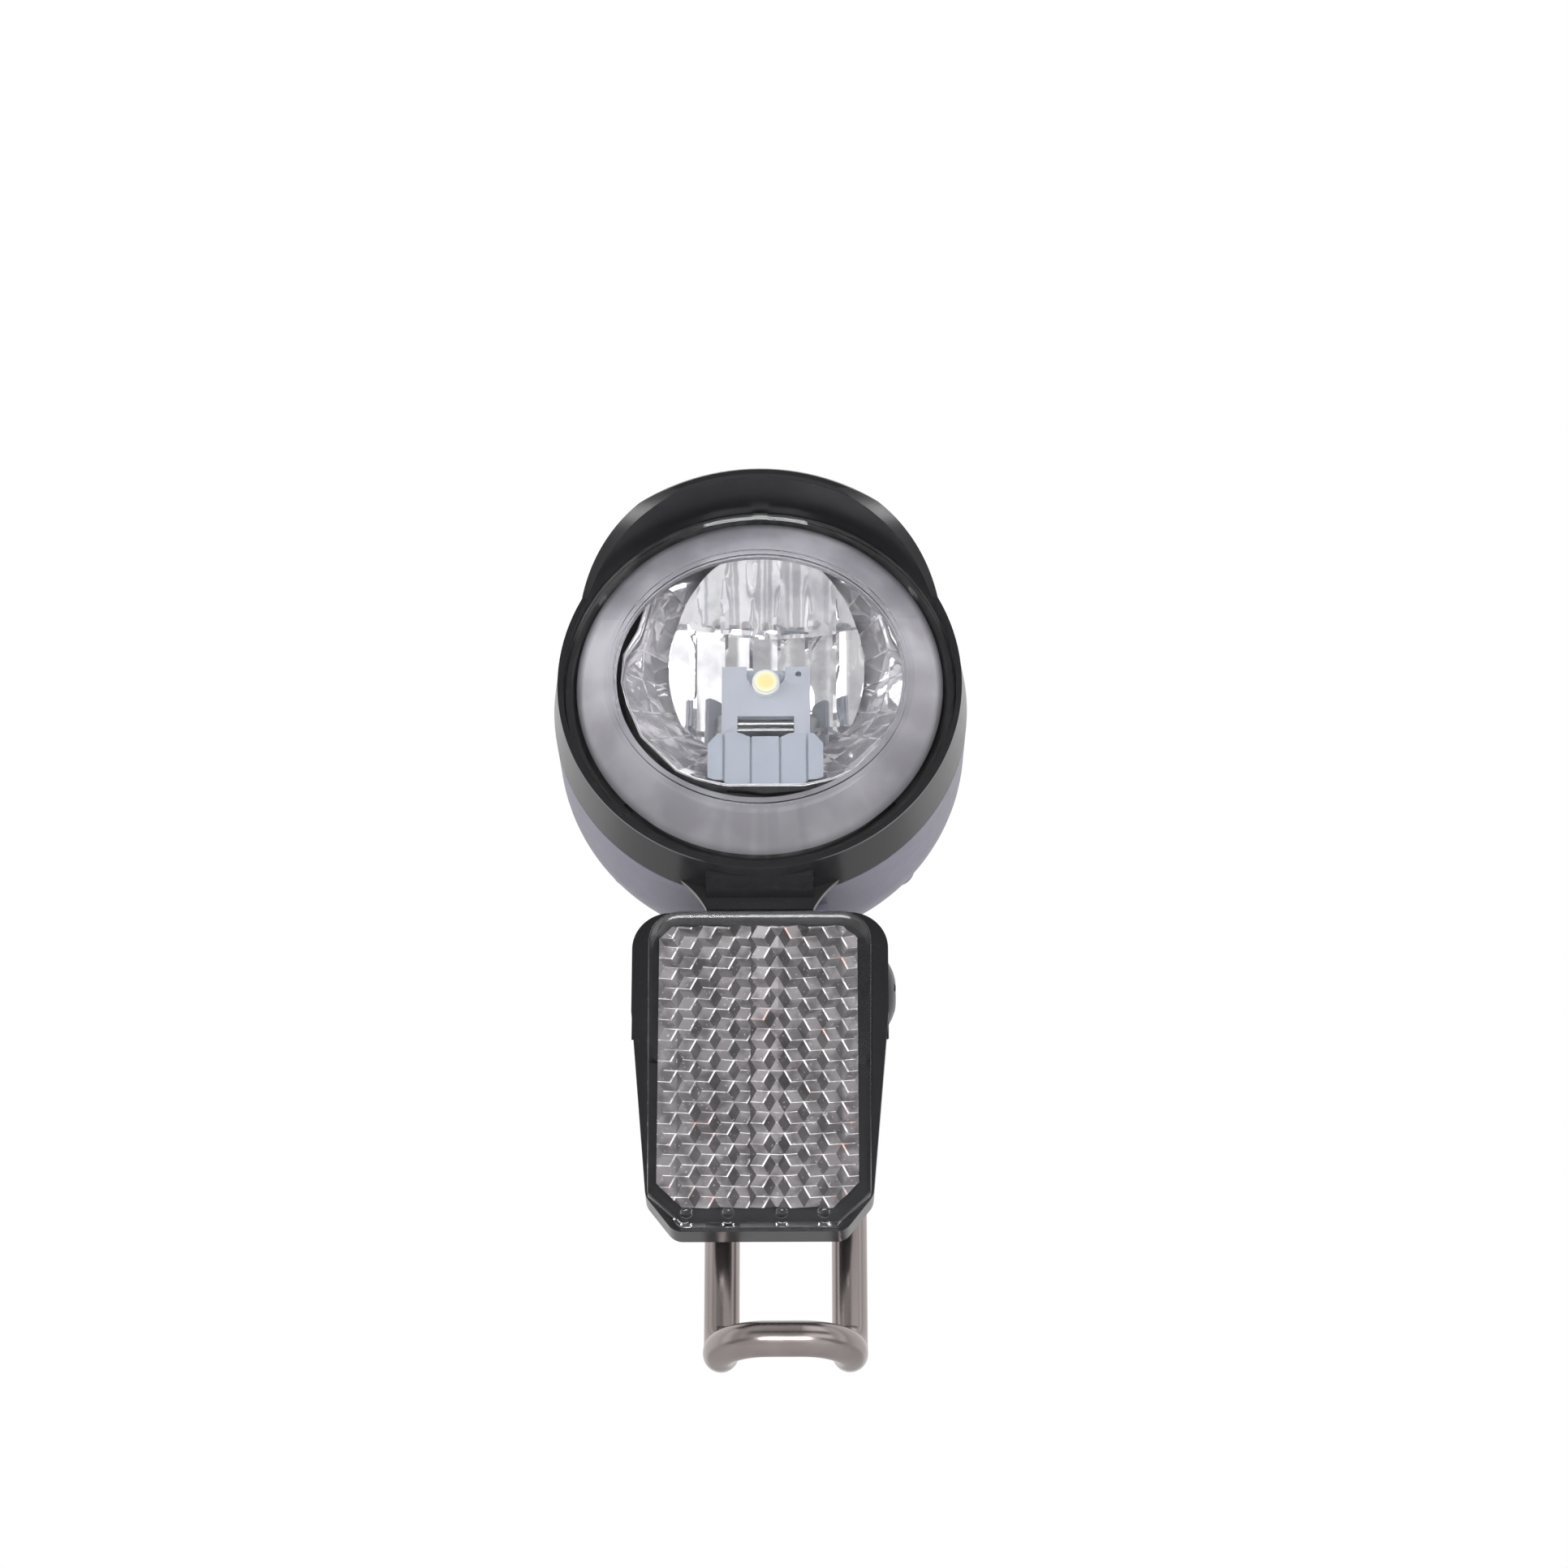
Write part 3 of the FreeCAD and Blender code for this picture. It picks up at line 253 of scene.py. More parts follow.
# sockets are the numbers of the Mix node's two ends and of its result
def mixThings(tree, kind, sockets, share, first, second):
    node = addNode(tree, "Mix", data_type=kind)
    for index, value in ((0, share), (sockets[0], first), (sockets[1], second)):
        feed(tree, node.inputs[index], value)
    return node.outputs[sockets[2]]


def mixColours(tree, share, first, second):
    return mixThings(tree, "RGBA", (6, 7, 2), share, first, second)


def mixValues(tree, share, first, second):
    return mixThings(tree, "FLOAT", (2, 3, 0), share, first, second)


def mapRange(tree, value, low, high, newLow=0.0, newHigh=1.0):
    node = addNode(tree, "MapRange", interpolation_type="SMOOTHSTEP")
    for index, number in enumerate((value, low, high, newLow, newHigh)):
        feed(tree, node.inputs[index], number)
    return node.outputs[0]


# noise made into patches with soft edges between low and high
def patches(tree, vector, scale, detail, low, high):
    return mapRange(tree, noise(tree, vector, scale, detail), low, high)


# one between low and high, with soft edges
def spanMask(tree, value, low, high, soft):
    rise, fall = [mapRange(tree, value, edge - soft, edge + soft) for edge in (low, high)]
    return calculate(tree, "SUBTRACT", rise, fall)


def shade(colour, share):
    return tuple(part * share for part in colour)


# shader groups that several finishes share

def newGroup(name, inputs, outputs):
    group = bpy.data.node_groups.new(name, "ShaderNodeTree")
    for way, sockets in (("INPUT", inputs), ("OUTPUT", outputs)):
        for word, kind in sockets.items():
            group.interface.new_socket(name=word, in_out=way, socket_type="NodeSocket" + kind)
    entry = group.nodes.new("NodeGroupInput")
    leave = group.nodes.new("NodeGroupOutput")
    return group, entry.outputs, leave


# moulded plastic: cloudy colour, fine spark-eroded grain
def makeMouldedGrain():
    look = {"clouds": (140.0, 3.0, 0.35, 0.68), "wide": (600.0, 2.0), "grainDetail": 1.0}
    group, given, leave = newGroup(
        "mouldedGrain",
        {"Vector": "Vector", "Colour": "Color", "Second Colour": "Color",
         "Grain Scale": "Float", "Roughness": "Float", "Roughness Spread": "Float"},
        {"Colour": "Color", "Roughness": "Float", "Height": "Float"},
    )
    share = patches(group, given["Vector"], *look["clouds"])
    centred = calculate(group, "SUBTRACT", noise(group, given["Vector"], *look["wide"]), 0.5)
    setInputs(group, leave, {
        "Colour": mixColours(group, share, given["Colour"], given["Second Colour"]),
        "Roughness": calculate(group, "MULTIPLY_ADD", centred, given["Roughness Spread"],
                               given["Roughness"]),
        "Height": noise(group, given["Vector"], given["Grain Scale"], look["grainDetail"]),
    })
    return group


# a few pale specks of dust and hairline scuffs; on the cube faces the same specks are painted
# glints
def makeDustAndPaintedGlints():
    look = {"specks": (2600.0, 0.0, 0.74, 0.79), "veil": (220.0, 4.0, 0.5, 0.8),
            "veilShare": 0.25, "roughness": 0.7}
    group, given, leave = newGroup(
        "dustAndPaintedGlints",
        {"Vector": "Vector", "Colour": "Color", "Dust And Glint Colour": "Color",
         "Roughness": "Float", "Amount": "Float"},
        {"Colour": "Color", "Roughness": "Float"},
    )
    spots = patches(group, given["Vector"], *look["specks"])
    thin = patches(group, given["Vector"], *look["veil"])
    both = calculate(group, "MULTIPLY_ADD", thin, look["veilShare"], spots)
    share = calculate(group, "MULTIPLY", both, given["Amount"], clamp=True)
    setInputs(group, leave, {
        "Colour": mixColours(group, share, given["Colour"], given["Dust And Glint Colour"]),
        "Roughness": mixValues(group, share, given["Roughness"], look["roughness"]),
    })
    return group


# drawn or turned metal: fine streaks along one axis, a little tarnish
def makeDrawnMetal():
    look = {"streaks": (1.0, 3.0), "clouds": (0.12, 3.0, 0.42, 0.72)}
    group, given, leave = newGroup(
        "drawnMetal",
        {"Vector": "Vector", "Colour": "Color", "Tarnish": "Color", "Roughness": "Float",
         "Streak": "Float"},
        {"Colour": "Color", "Roughness": "Float", "Height": "Float"},
    )
    streaks = noise(group, given["Vector"], *look["streaks"])
    share = patches(group, given["Vector"], *look["clouds"])
    setInputs(group, leave, {
        "Colour": mixColours(group, share, given["Colour"], given["Tarnish"]),
        "Roughness": calculate(group, "MULTIPLY_ADD", streaks, given["Streak"],
                               given["Roughness"]),
        "Height": streaks,
    })
    return group


# distance from an axis that points at the viewer, as a soft step between two radii
def makeAxisDistance():
    group, given, leave = newGroup(
        "axisDistance", {"Vector": "Vector", "Inner": "Float", "Outer": "Float"},
        {"Mask": "Float"},
    )
    split = splitVector(group, given["Vector"])
    flat = setInputs(group, addNode(group, "CombineXYZ"), {"X": split["X"], "Z": split["Z"]})
    length = addNode(group, "VectorMath", operation="LENGTH")
    group.links.new(flat.outputs[0], length.inputs[0])
    setInputs(group, leave, {
        "Mask": mapRange(group, length.outputs["Value"], given["Inner"], given["Outer"]),
    })
    return group


mouldedGrain = makeMouldedGrain()
dustAndPaintedGlints = makeDustAndPaintedGlints()
drawnMetal = makeDrawnMetal()
axisDistance = makeAxisDistance()


def newFinish(name):
    finish = bpy.data.materials.new(name)
    finish.use_nodes = True
    tree = finish.node_tree
    tree.nodes.clear()
    shader = addNode(tree, "BsdfPrincipled")
    leave = addNode(tree, "OutputMaterial")
    tree.links.new(shader.outputs["BSDF"], leave.inputs["Surface"])
    place = addNode(tree, "TexCoord")
    turn = addNode(tree, "Mapping")
    tree.links.new(place.outputs["Object"], turn.inputs["Vector"])
    return finish, tree, shader, turn


def addBump(tree, shader, height, strength, distance):
    bump = setInputs(tree, addNode(tree, "Bump"),
                     {"Strength": strength, "Distance": distance * mm, "Height": height})
    tree.links.new(bump.outputs["Normal"], shader.inputs["Normal"])


# what a finish has unless its own look says otherwise
plasticLook = {
    "secondTone": 1.18, "grain": 8000.0, "spread": 0.12, "dust": 0.0,
    "dustColour": (0.35, 0.34, 0.33), "specular": 0.5, "coat": 0.0, "coatRoughness": 0.1,
    "subsurface": 0.0, "depth": 1.5, "bump": 0.2, "bumpHeight": 0.02,
}
metalLook = {"bump": 0.08, "bumpHeight": 0.02}
clearLook = {
    "hazeNoise": (300.0, 3.0), "hazeSpan": (0.4, 0.8), "tintTone": 0.985, "bending": 1.49,
    "bump": 0.03, "bumpHeight": 0.05, "shadowTone": 0.92,
}


def mouldedPlastic(name, ownLook):
    look = {**plasticLook, **ownLook}
    finish, tree, shader, turn = newFinish(name)
    grain = placeGroup(tree, mouldedGrain, {
        "Vector": turn.outputs[0], "Colour": look["colour"],
        "Second Colour": look.get("second", shade(look["colour"], look["secondTone"])),
        "Grain Scale": look["grain"], "Roughness": look["roughness"],
        "Roughness Spread": look["spread"],
    })
    dust = placeGroup(tree, dustAndPaintedGlints, {
        "Vector": turn.outputs[0], "Colour": grain.outputs["Colour"],
        "Dust And Glint Colour": look["dustColour"], "Roughness": grain.outputs["Roughness"],
        "Amount": look["dust"],
    })
    setInputs(tree, shader, {
        "Base Color": dust.outputs["Colour"], "Roughness": dust.outputs["Roughness"],
        "Specular IOR Level": look["specular"], "Coat Weight": look["coat"],
        "Coat Roughness": look["coatRoughness"], "Subsurface Weight": look["subsurface"],
        "Subsurface Scale": look["depth"] * mm,
    })
    addBump(tree, shader, grain.outputs["Height"], look["bump"], look["bumpHeight"])
    return finish


def metalFinish(name, ownLook):
    look = {**metalLook, **ownLook}
    finish, tree, shader, turn = newFinish(name)
    turn.inputs["Scale"].default_value = look["streaks"]
    metal = placeGroup(tree, drawnMetal, {
        "Vector": turn.outputs[0], "Colour": look["colour"], "Tarnish": look["tarnish"],
        "Roughness": look["roughness"], "Streak": look["streak"],
    })
    setInputs(tree, shader, {
        "Metallic": 1.0, "Base Color": metal.outputs["Colour"],
        "Roughness": metal.outputs["Roughness"],
    })
    addBump(tree, shader, metal.outputs["Height"], look["bump"], look["bumpHeight"])
    return finish


# clear plastic: glass to the eye, open to the lamps so that what lies behind is lit
def clearPlastic(name, ownLook):
    look = {**clearLook, **ownLook}
    finish, tree, shader, turn = newFinish(name)
    haze = noise(tree, turn.outputs[0], *look["hazeNoise"])
    setInputs(tree, shader, {
        "Roughness": mapRange(tree, haze, *look["hazeSpan"], look["roughness"],
                              look["roughness"] + look["haze"]),
        "Base Color": mixColours(tree, haze, look["colour"],
                                 shade(look["colour"], look["tintTone"])),
        "Transmission Weight": 1.0, "IOR": look["bending"],
    })
    addBump(tree, shader, haze, look["bump"], look["bumpHeight"])
    clear = setInputs(tree, addNode(tree, "BsdfTransparent"),
                      {"Color": shade(look["colour"], look["shadowTone"])})
    path = addNode(tree, "LightPath")
    both = addNode(tree, "MixShader")
    leave = next(node for node in tree.nodes if node.type == "OUTPUT_MATERIAL")
    for index, source in enumerate((path.outputs["Is Shadow Ray"], shader.outputs["BSDF"],
                                    clear.outputs["BSDF"])):
        tree.links.new(source, both.inputs[index])
    tree.links.new(both.outputs[0], leave.inputs["Surface"])
    return finish


blackShell = mouldedPlastic("blackShell", {
    "colour": (0.0135, 0.0135, 0.015), "second": (0.0145, 0.0145, 0.016), "roughness": 0.25,
    "spread": 0.08, "grain": 7000.0, "bump": 0.06, "specular": 0.37, "dust": 0.015,
})
innerBlack = mouldedPlastic("innerBlack", {
    "colour": (0.012, 0.012, 0.013), "roughness": 0.45, "grain": 6000.0,
})
greyShell = mouldedPlastic("greyShell", {
    "colour": (0.182, 0.172, 0.225), "second": (0.195, 0.185, 0.24), "roughness": 0.42,
    "grain": 9000.0, "bump": 0.15, "specular": 0.4, "dust": 0.04,
})
palePlate = mouldedPlastic("palePlate", {
    "colour": (0.415, 0.432, 0.48), "second": (0.435, 0.452, 0.505), "roughness": 0.38,
    "grain": 9000.0, "bump": 0.08, "subsurface": 0.1,
})
shroudGrey = mouldedPlastic("shroudGrey", {
    "colour": (0.345, 0.371, 0.42), "second": (0.37, 0.397, 0.445), "roughness": 0.4,
    "grain": 9000.0, "bump": 0.08, "subsurface": 0.1,
})
boardWhite = mouldedPlastic("boardWhite", {
    "colour": (0.42, 0.46, 0.51), "second": (0.45, 0.49, 0.54), "roughness": 0.4,
    "grain": 12000.0, "bump": 0.05,
})
ledWhite = mouldedPlastic("ledWhite", {
    "colour": (0.66, 0.66, 0.65), "roughness": 0.3, "grain": 12000.0, "bump": 0.03,
    "subsurface": 0.3, "coat": 0.5,
})
sealRubber = mouldedPlastic("sealRubber", {
    "colour": (0.014, 0.014, 0.014), "roughness": 0.65, "grain": 5000.0, "bump": 0.25,
    "specular": 0.3,
})
inletRubber = mouldedPlastic("inletRubber", {
    "colour": (0.018, 0.018, 0.019), "roughness": 0.6, "grain": 5000.0, "bump": 0.3,
    "dust": 0.15,
})
switchBlack = mouldedPlastic("switchBlack", {
    "colour": (0.02, 0.02, 0.022), "roughness": 0.42, "grain": 9000.0, "dust": 0.1,
})
boardGreen = mouldedPlastic("boardGreen", {
    "colour": (0.02, 0.12, 0.05), "second": (0.025, 0.15, 0.06), "roughness": 0.25,
    "grain": 3000.0, "bump": 0.1, "coat": 0.3,
})
canSleeve = mouldedPlastic("canSleeve", {
    "colour": (0.02, 0.025, 0.05), "roughness": 0.25, "grain": 4000.0, "bump": 0.05,
    "coat": 0.4,
})
coilDark = mouldedPlastic("coilDark", {
    "colour": (0.05, 0.045, 0.045), "roughness": 0.7, "grain": 3000.0, "bump": 0.5,
})
chipBlack = mouldedPlastic("chipBlack", {
    "colour": (0.02, 0.02, 0.02), "roughness": 0.5, "grain": 9000.0,
})
wireMetal = metalFinish("wireMetal", {
    "colour": (0.36, 0.318, 0.308), "tarnish": (0.3, 0.26, 0.252), "roughness": 0.21,
    "streak": 0.08, "streaks": (900.0, 900.0, 200.0), "bump": 0.015,
})
screwMetal = metalFinish("screwMetal", {
    "colour": (0.55, 0.54, 0.53), "tarnish": (0.42, 0.41, 0.4), "roughness": 0.25,
    "streak": 0.1, "streaks": (900.0, 900.0, 900.0),
})
zincBlack = metalFinish("zincBlack", {
    "colour": (0.075, 0.07, 0.085), "tarnish": (0.05, 0.047, 0.055), "roughness": 0.28,
    "streak": 0.12, "streaks": (900.0, 900.0, 900.0),
})
contactMetal = metalFinish("contactMetal", {
    "colour": (0.72, 0.72, 0.73), "tarnish": (0.6, 0.6, 0.6), "roughness": 0.15,
    "streak": 0.08, "streaks": (300.0, 2000.0, 2000.0),
})
castAlloy = metalFinish("castAlloy", {
    "colour": (0.6, 0.6, 0.61), "tarnish": (0.5, 0.5, 0.5), "roughness": 0.42,
    "streak": 0.15, "streaks": (2500.0, 2500.0, 2500.0), "bump": 0.2,
})
lensClear = clearPlastic("lensClear", {
    "colour": (0.97, 0.975, 0.985), "roughness": 0.02, "haze": 0.03,
})
prismClear = clearPlastic("prismClear", {
    "colour": (0.96, 0.96, 0.965), "roughness": 0.03, "haze": 0.05, "bump": 0.05,
})


# vacuum-coated mirror of the bowl: nearly clean, faint ripple
def makeBowlCoating():
    look = {"colour": (0.9, 0.89, 0.9), "dull": (0.7, 0.69, 0.71), "roughness": 0.03,
            "spread": 0.06, "metal": 0.84, "ripple": (420.0, 2.0), "veil": (170.0, 3.0),
            "dullSpan": (0.45, 0.7), "roughSpan": (0.4, 0.8), "bump": 0.05, "bumpHeight": 0.4}
    finish, tree, shader, turn = newFinish("bowlCoating")
    veil = noise(tree, turn.outputs[0], *look["veil"])
    setInputs(tree, shader, {
        "Base Color": mixColours(tree, mapRange(tree, veil, *look["dullSpan"]),
                                 look["colour"], look["dull"]),
        "Roughness": mapRange(tree, veil, *look["roughSpan"], look["roughness"],
                              look["roughness"] + look["spread"]),
        "Metallic": look["metal"],
    })
    ripple = noise(tree, turn.outputs[0], *look["ripple"])
    addBump(tree, shader, ripple, look["bump"], look["bumpHeight"])
    return finish


cubeLook = {"ripples": (900.0, 3.0), "cells": (330.0, 2.0, 0.4, 0.66), "metal": 0.75,
            "paintedGlintColour": (0.95, 0.94, 0.95), "bumpHeight": 0.12}


# faces of the cube corners, nearly as bright as metal behind their plastic, with pale specks
# that are painted glints
def makeCubeFace(name, ownLook):
    look = {**cubeLook, **ownLook}
    finish, tree, shader, turn = newFinish(name)
    share = patches(tree, turn.outputs[0], *look["cells"])
    # painted glints: pale specks laid over the cube faces' colour
    paintedGlints = placeGroup(tree, dustAndPaintedGlints, {
        "Vector": turn.outputs[0],
        "Colour": mixColours(tree, share, look["colour"], look["deep"]),
        "Dust And Glint Colour": look["paintedGlintColour"], "Roughness": look["roughness"],
        "Amount": look["paintedGlints"],
    })
    setInputs(tree, shader, {
        "Base Color": paintedGlints.outputs["Colour"], "Roughness": paintedGlints.outputs["Roughness"],
        "Metallic": look["metal"],
    })
    ripple = noise(tree, turn.outputs[0], *look["ripples"])
    addBump(tree, shader, ripple, look["ripple"], look["bumpHeight"])
    return finish


paintedHighlightCreaseLook = {"patches": (260.0, 2.0, 0.6, 0.72), "paintedGleam": (650.0, 2.0, 0.42, 0.62),
              "faint": 0.42, "metal": 0.6}


# rounded creases painted near white as painted highlight lines where the light would gather,
# here and there fainter or in another tone
def makePaintedHighlightCrease(name, ownLook):
    look = {**paintedHighlightCreaseLook, **ownLook}
    finish, tree, shader, turn = newFinish(name)
    paintedHighlight = mixColours(tree, patches(tree, turn.outputs[0], *look["paintedGleam"]), look["colour"],
                     shade(look["colour"], look["faint"]))
    share = patches(tree, turn.outputs[0], *look["patches"])
    setInputs(tree, shader, {
        "Base Color": mixColours(tree, share, paintedHighlight, look["paintedHighlightTint"]),
        "Roughness": look["roughness"], "Metallic": look["metal"],
    })
    return finish


# back of the lens ring: etched, so it holds the light; painted paler upwards as painted light
# against the shade of the hood, dark at its edge
def makeEtchedRing():
    look = {"colour": (0.24, 0.232, 0.253), "pale": (0.385, 0.376, 0.403), "roughness": 0.5,
            "through": 0.4, "low": 0.85, "high": 2.15, "foot": -24.0, "top": 25.0,
            "clouds": (110.0, 3.0, 0.35, 0.7), "edge": (24.8, 26.4), "edgeTone": 0.35,
            "etch": (5200.0, 1.0), "bump": 0.25, "bumpHeight": 0.05}
    finish, tree, shader, turn = newFinish("etchedRing")
    turn.inputs["Location"].default_value = -head
    share = patches(tree, turn.outputs[0], *look["clouds"])
    height = mapRange(tree, splitVector(tree, turn.outputs[0])["Z"], look["foot"] * mm,
                      look["top"] * mm)
    # painted light: a darker copy of the mist below and a much paler copy above
    below, above = [mixColours(tree, share, shade(look["colour"], tone),
                               shade(look["pale"], tone))
                    for tone in (look["low"], look["high"])]
    mistWithPaintedLight = mixColours(tree, height, below, above)
    inner, outer = look["edge"]
    edge = placeGroup(tree, axisDistance,
                      {"Vector": turn.outputs[0], "Inner": inner * mm, "Outer": outer * mm})
    setInputs(tree, shader, {
        "Base Color": mixColours(tree, edge.outputs["Mask"], mistWithPaintedLight,
                                 shade(look["colour"], look["edgeTone"])),
        "Roughness": look["roughness"], "Transmission Weight": look["through"],
    })
    etch = noise(tree, turn.outputs[0], *look["etch"])
    addBump(tree, shader, etch, look["bump"], look["bumpHeight"])
    return finish


# yellow phosphor that pales towards the rim under its silicone
def makePhosphorDisc():
    look = {"colour": (0.82, 0.66, 0.3), "rim": (0.82, 0.79, 0.62), "rimSpan": (0.7, 1.7),
            "dots": (5000.0, 2.0), "dotTone": 1.1, "roughness": 0.4, "subsurface": 0.2,
            "depth": 0.5, "bump": 0.1, "bumpHeight": 0.02}
    finish, tree, shader, turn = newFinish("phosphorDisc")
    low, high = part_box("led_phosphor")
    turn.inputs["Location"].default_value = -(low + high) / 2
    inner, outer = look["rimSpan"]
    far = placeGroup(tree, axisDistance,
                     {"Vector": turn.outputs[0], "Inner": inner * mm, "Outer": outer * mm})
    dots = noise(tree, turn.outputs[0], *look["dots"])
    base = mixColours(tree, dots, look["colour"], shade(look["colour"], look["dotTone"]))
    setInputs(tree, shader, {
        "Base Color": mixColours(tree, far.outputs["Mask"], base, look["rim"]),
        "Roughness": look["roughness"], "Subsurface Weight": look["subsurface"],
        "Subsurface Scale": look["depth"] * mm,
    })
    addBump(tree, shader, dots, look["bump"], look["bumpHeight"])
    return finish


bowlCoating = makeBowlCoating()
cubeSilver = makeCubeFace("cubeSilver", {
    "colour": (0.46, 0.437, 0.448), "deep": (0.24, 0.228, 0.235), "roughness": 0.34,
    "ripple": 0.2, "paintedGlints": 0.5,
})
# darker copy of the cube faces: painted shade for the rhombs that turn away from the light
cubePaintedShade = makeCubeFace("cubePaintedShade", {
    "colour": (0.16, 0.15, 0.157), "deep": (0.1, 0.094, 0.098), "roughness": 0.3,
    "ripple": 0.25, "paintedGlints": 0.35,
})
# near-white creases of the cubes: painted highlight lines, some in a painted reddish glint
# tint
cubeCreasePaintedHighlight = makePaintedHighlightCrease("cubeCreasePaintedHighlight", {
    "colour": (0.92, 0.9, 0.92), "paintedHighlightTint": (0.8, 0.5, 0.45), "roughness": 0.3,
})
# pale creases of the bowl's collar: painted highlight lines
bowlCreasePaintedHighlight = makePaintedHighlightCrease("bowlCreasePaintedHighlight", {
    "colour": (1.0, 0.99, 1.0), "paintedHighlightTint": (0.7, 0.69, 0.71), "roughness": 0.25,
})
etchedRing = makeEtchedRing()
phosphorDisc = makePhosphorDisc()
print("finishes ready:", len(bpy.data.materials))

nodeFinishes = {
    "bracket_wire": wireMetal, "front_bezel": blackShell, "front_lens": lensClear,
    "lens_gasket": sealRubber, "housing_seal": sealRubber, "rear_housing": greyShell,
    "reflector_bowl": bowlCoating, "inner_frame": innerBlack, "led_carrier": palePlate,
    "led_board": boardWhite, "led_package": ledWhite, "led_phosphor": phosphorDisc,
    "contact_bars": contactMetal, "led_shroud": shroudGrey, "heat_sink": castAlloy,
    "driver_board": boardGreen, "buffer_capacitor": canSleeve, "inductor": coilDark,
    "board_chips": chipBlack, "switch_block": switchBlack, "switch_slider": switchBlack,
    "cable_grommet": inletRubber, "housing_screws": screwMetal,
    "reflector_carrier": blackShell, "prism_reflector": prismClear,
    "pivot_screw": zincBlack, "pivot_nut": zincBlack,
}
for name, item in nodes.items():
    item.data.materials.clear()
    item.data.materials.append(nodeFinishes[name])


# clear front of the prism reflector: raised rounded border, four pegs behind; the cubes lie
# inside it
def makePrismCover():
    look = {"high": 46.7, "wide": 31.8, "footWide": 30.9, "thick": 3.0, "topCorner": 4.5,
            "footCut": 4.6, "footZone": 20, "border": 1.95, "rise": 0.6, "round": 0.4,
            "pegRadius": 0.9, "pegLong": 1.0, "pegRound": 0.2,
            "pegs": [-0.33, -0.14, 0.1, 0.29], "pegUp": 2.2}
    front = prismLow.y
    back = front + look["thick"] * mm
    centre = Vector((prismMid.x, front, prismLow.z + look["high"] * mm / 2))
    piece = beginWith("prismCover", bpy.ops.mesh.primitive_plane_add, size=1,
                      location=centre, rotation=upright)
    scaleFrom(centre, look["wide"] * mm, 1, look["high"] * mm)
    pick("VERT", lambda p: p.z < centre.z)
    scaleFrom(centre, look["footWide"] / look["wide"], 1, 1)
    pick("VERT", lambda p: p.z > centre.z)
    bpy.ops.mesh.bevel(offset=look["topCorner"] * mm, segments=6, affect="VERTICES")
    pick("VERT", lambda p: p.z < centre.z - look["footZone"] * mm)
    bpy.ops.mesh.bevel(offset=look["footCut"] * mm, segments=1, affect="VERTICES")
    extrudeAllBack(look["thick"])
    closeNormals()
    pick("FACE", lambda p: p.y < front + tiny)
    bpy.ops.mesh.inset(thickness=look["border"] * mm)
    move(back=look["rise"])
    pick("EDGE", lambda p: p.y < front + tiny)
    bpy.ops.mesh.bevel(offset=look["round"] * mm, segments=3, affect="EDGES")
    closeNormals()
    settle(piece)
    for share in look["pegs"]:
        spot = Vector((prismMid.x + share * look["footWide"] * mm, back,
                       prismLow.z + look["pegUp"] * mm))
        peg = beginWith("pegTool", bpy.ops.mesh.primitive_cylinder_add, vertices=20,
                        radius=look["pegRadius"] * mm, depth=2 * look["pegLong"] * mm,
                        location=spot, rotation=upright)
        pick("FACE", lambda p: p.y > back + look["pegLong"] * mm - tiny)
        bpy.ops.mesh.bevel(offset=look["pegRound"] * mm, segments=2, affect="EDGES")
        settle(peg)
        cutWith(piece, peg, "UNION")
    handOver(piece, "lamp", prismClear, smooth=35,
             standsFor=["prism_reflector"])


# deep creases that lean one way as seen from the front, or all the level ones
def pickCreases(lean):
    limits = {"angle": 0.3, "slant": 0.2, "level": 0.1}

    def isWanted(edge):
        if len(edge.link_faces) != 2 or edge.calc_face_angle() < limits["angle"]:
            return False
        first, second = [vert.co for vert in edge.verts]
        run = (second - first).normalized()
        if not lean:
            return abs(run.z) < limits["level"]
        beside = sum(face.calc_center_median().y for face in edge.link_faces)
        return (first + second).y > beside and run.x * run.z * lean > limits["slant"]

    pickItems("EDGE", isWanted)


# gives the faces that turn one way the finish in a slot
def paintFaces(test, slot):
    pickItems("FACE", lambda face: face.material_index == 0 and test(
        -face.normal if face.normal.y > 0 else face.normal))
    bpy.context.object.active_material_index = slot
    bpy.ops.object.material_slot_assign()


fieldLook = {"left": -14.4, "bandLeft": -1.3, "bandRight": 2.6, "right": 13.9, "top": 45.0,
             "foot": 2.7}
sheetLook = {"front": 1.55, "side": 1.8, "depth": 1.15, "turn": math.pi / 6, "odd": 0,
             "corner": 2.0, "footCorner": 3.6, "outer": 0, "lean": 1, "crease": 0.13,
             "fineCrease": 0.04, "paintedShadeFrom": 0.25}


